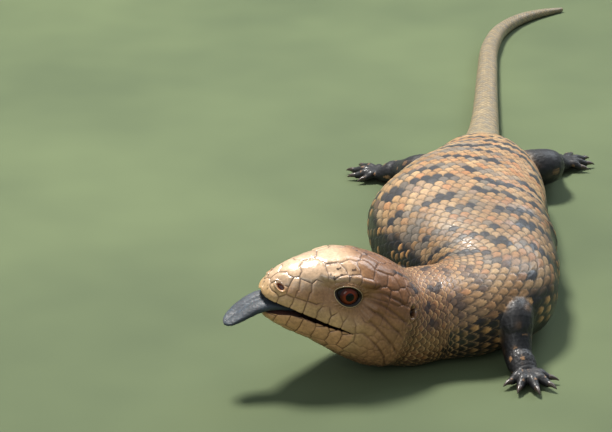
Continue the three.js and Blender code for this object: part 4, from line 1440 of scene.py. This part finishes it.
def build_eye(name, side):
    """An eyeball whose clear front swells a little over a ringed iris and a round pupil."""
    centre, gaze, length, across = eye_frame(side)
    turn = np.linspace(0, 2 * math.pi, 120, endpoint=False)
    spokes = np.cos(turn)[:, None] * length + np.sin(turn)[:, None] * across
    white = EYE_RADIUS - CORNEA
    rings = []
    for off in [*np.linspace(0, IRIS * 1.2, 56)[1:], *np.linspace(IRIS * 1.2, math.pi, 42)[1:-1]]:
        radius = white + CORNEA * float(smooth(IRIS * 1.12, IRIS * 0.6, off))
        rings.append(centre + radius * (math.cos(off) * gaze + math.sin(off) * spokes))
    surface = Surface()
    surface.loft(rings, centre + EYE_RADIUS * gaze, centre - white * gaze)
    local = surface.points()
    # These rings turn the other way about their path than the body's, so the triangles are turned over.
    eye = mesh_object(name, head_point(local), surface.triangles()[:, ::-1])
    _, off, c, s = gaze_angles(local, side)
    spin = np.arctan2(s, c)
    rays = 0.5 + 0.5 * np.sin(spin * 37 + 3 * np.sin(spin * 9)) * np.sin(off * 60)
    share = np.clip((off - PUPIL) / (IRIS - PUPIL), 0, 1)
    iris = paint(IRIS_RED, (IRIS_BROWN, smooth(0.1, 0.7, share)), (IRIS_RIM, smooth(0.75, 1, share)))
    attribute(eye, "pigment", paint(
        iris * (0.8 + 0.4 * rays)[:, None],
        (PUPIL_BLACK, smooth(PUPIL + 0.02, PUPIL - 0.02, off)),
        (EYE_BROWN, smooth(IRIS - 0.03, IRIS + 0.03, off)),
    ))
    return eye


def eye_material():
    """The painted eyeball under a clear wet coat."""
    nodes = Nodes("wet_eye")
    fibres = nodes.noise(3000, 3)
    nodes.feed("Base Color", nodes.mix(0.5, nodes.read("pigment", "Color"), fibres["Color"], "MULTIPLY"))
    nodes.feed("Roughness", nodes.ramp(fibres["Fac"], 0.4, 0.6))
    nodes.set(Specular_IOR_Level=0.02, Coat_Weight=0.8, Coat_Roughness=0.02, Coat_IOR=1.4)
    return nodes.material


def build_claws(name, limb):
    """The five hooked claws of one foot."""
    claws = []
    for toe in limb_axes(limb)[1]:
        root, way = toe[-1, :3], unit((toe[-1, :3] - toe[-4, :3]) * [1, 1, 0])
        axis = []
        for t in np.linspace(-0.35, 1, 12):
            out = max(t, 0)
            radius = 1.02 * (1 - out) ** 0.8 + 0.1
            centre = root + way * (0.4 + CLAW * 0.93 * t) + np.array([0, 0, 0.35 - 0.95 * out**2])
            centre[2] = max(centre[2], radius + 0.02)
            axis.append([*centre, radius])
        claws.append(tube(np.array(axis), 18))
    return mesh_object(name, *gather(claws))


def finish_piece(piece, material, slot, *nodes):
    """Gives a piece its material and its place in the frame."""
    piece.data.materials.append(material)
    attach(piece, "root")
    if nodes:
        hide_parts(*nodes)


def build_floor():
    """A plain floor of a muted green, just under the feet."""
    bpy.ops.mesh.primitive_plane_add(size=FLOOR_SIZE, location=(0, 0, -FLOOR_DROP))
    floor = bpy.context.object
    floor.name = "floor"
    nodes = Nodes("floor")
    nodes.mottle(nodes.noise(6, 3)["Fac"], FLOOR_DARK, FLOOR_LIGHT, (0.35, 0.65))
    nodes.set(Roughness=0.9)
    floor.data.materials.append(nodes.material)


def build_light():
    """A soft sky, a small bright sun high behind the animal, and two broad lamps that fill its shadows."""
    world = bpy.data.worlds.new("sky")
    bpy.context.scene.world = world
    world.use_nodes = True
    sky = world.node_tree.nodes["Background"]
    sky.inputs["Color"].default_value = (*SKY, 1)
    sky.inputs["Strength"].default_value = SKY_STRENGTH
    for name, place, width, power, colour in LAMPS:
        data = bpy.data.lights.new(name, "AREA")
        data.shape = "DISK"
        data.size = width
        data.energy = power
        data.color = colour
        lamp = bpy.data.objects.new(name, data)
        bpy.context.scene.collection.objects.link(lamp)
        lamp.location = place
        way = LAMP_AIM - lamp.location
        lamp.rotation_euler = way.to_track_quat("-Z", "Y").to_euler()


def build_camera():
    """A long lens, level with no roll, looking down along +Y."""
    data = bpy.data.cameras.new("camera")
    data.lens = LENS
    data.sensor_width = SENSOR
    data.clip_start = 0.01
    data.dof.use_dof = False
    camera = bpy.data.objects.new("camera", data)
    bpy.context.scene.collection.objects.link(camera)
    camera.location = (CAMERA - BELLY) / 1000
    camera.rotation_euler = (math.radians(90 - LOOK_DOWN), 0, 0)
    bpy.context.scene.camera = camera


flesh = [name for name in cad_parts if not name.startswith(("eye", "tongue"))]
finish_piece(build_skin(), skin_material(), "skin_back", *flesh)
finish_piece(build_tongue(), tongue_material(), "tongue", "tongue")
eye_look = eye_material()
finish_piece(build_eye("eyeball_left", 1), eye_look, "eye", "eye_left")
finish_piece(build_eye("eyeball_right", -1), eye_look, "eye", "eye_right")
horn = horn_material()
for limb_name, limb in LIMBS.items():
    finish_piece(build_claws("claws_" + limb_name, limb), horn, "skin_limb")

build_floor()
build_light()
build_camera()
bpy.context.scene.view_settings.view_transform = "Standard"
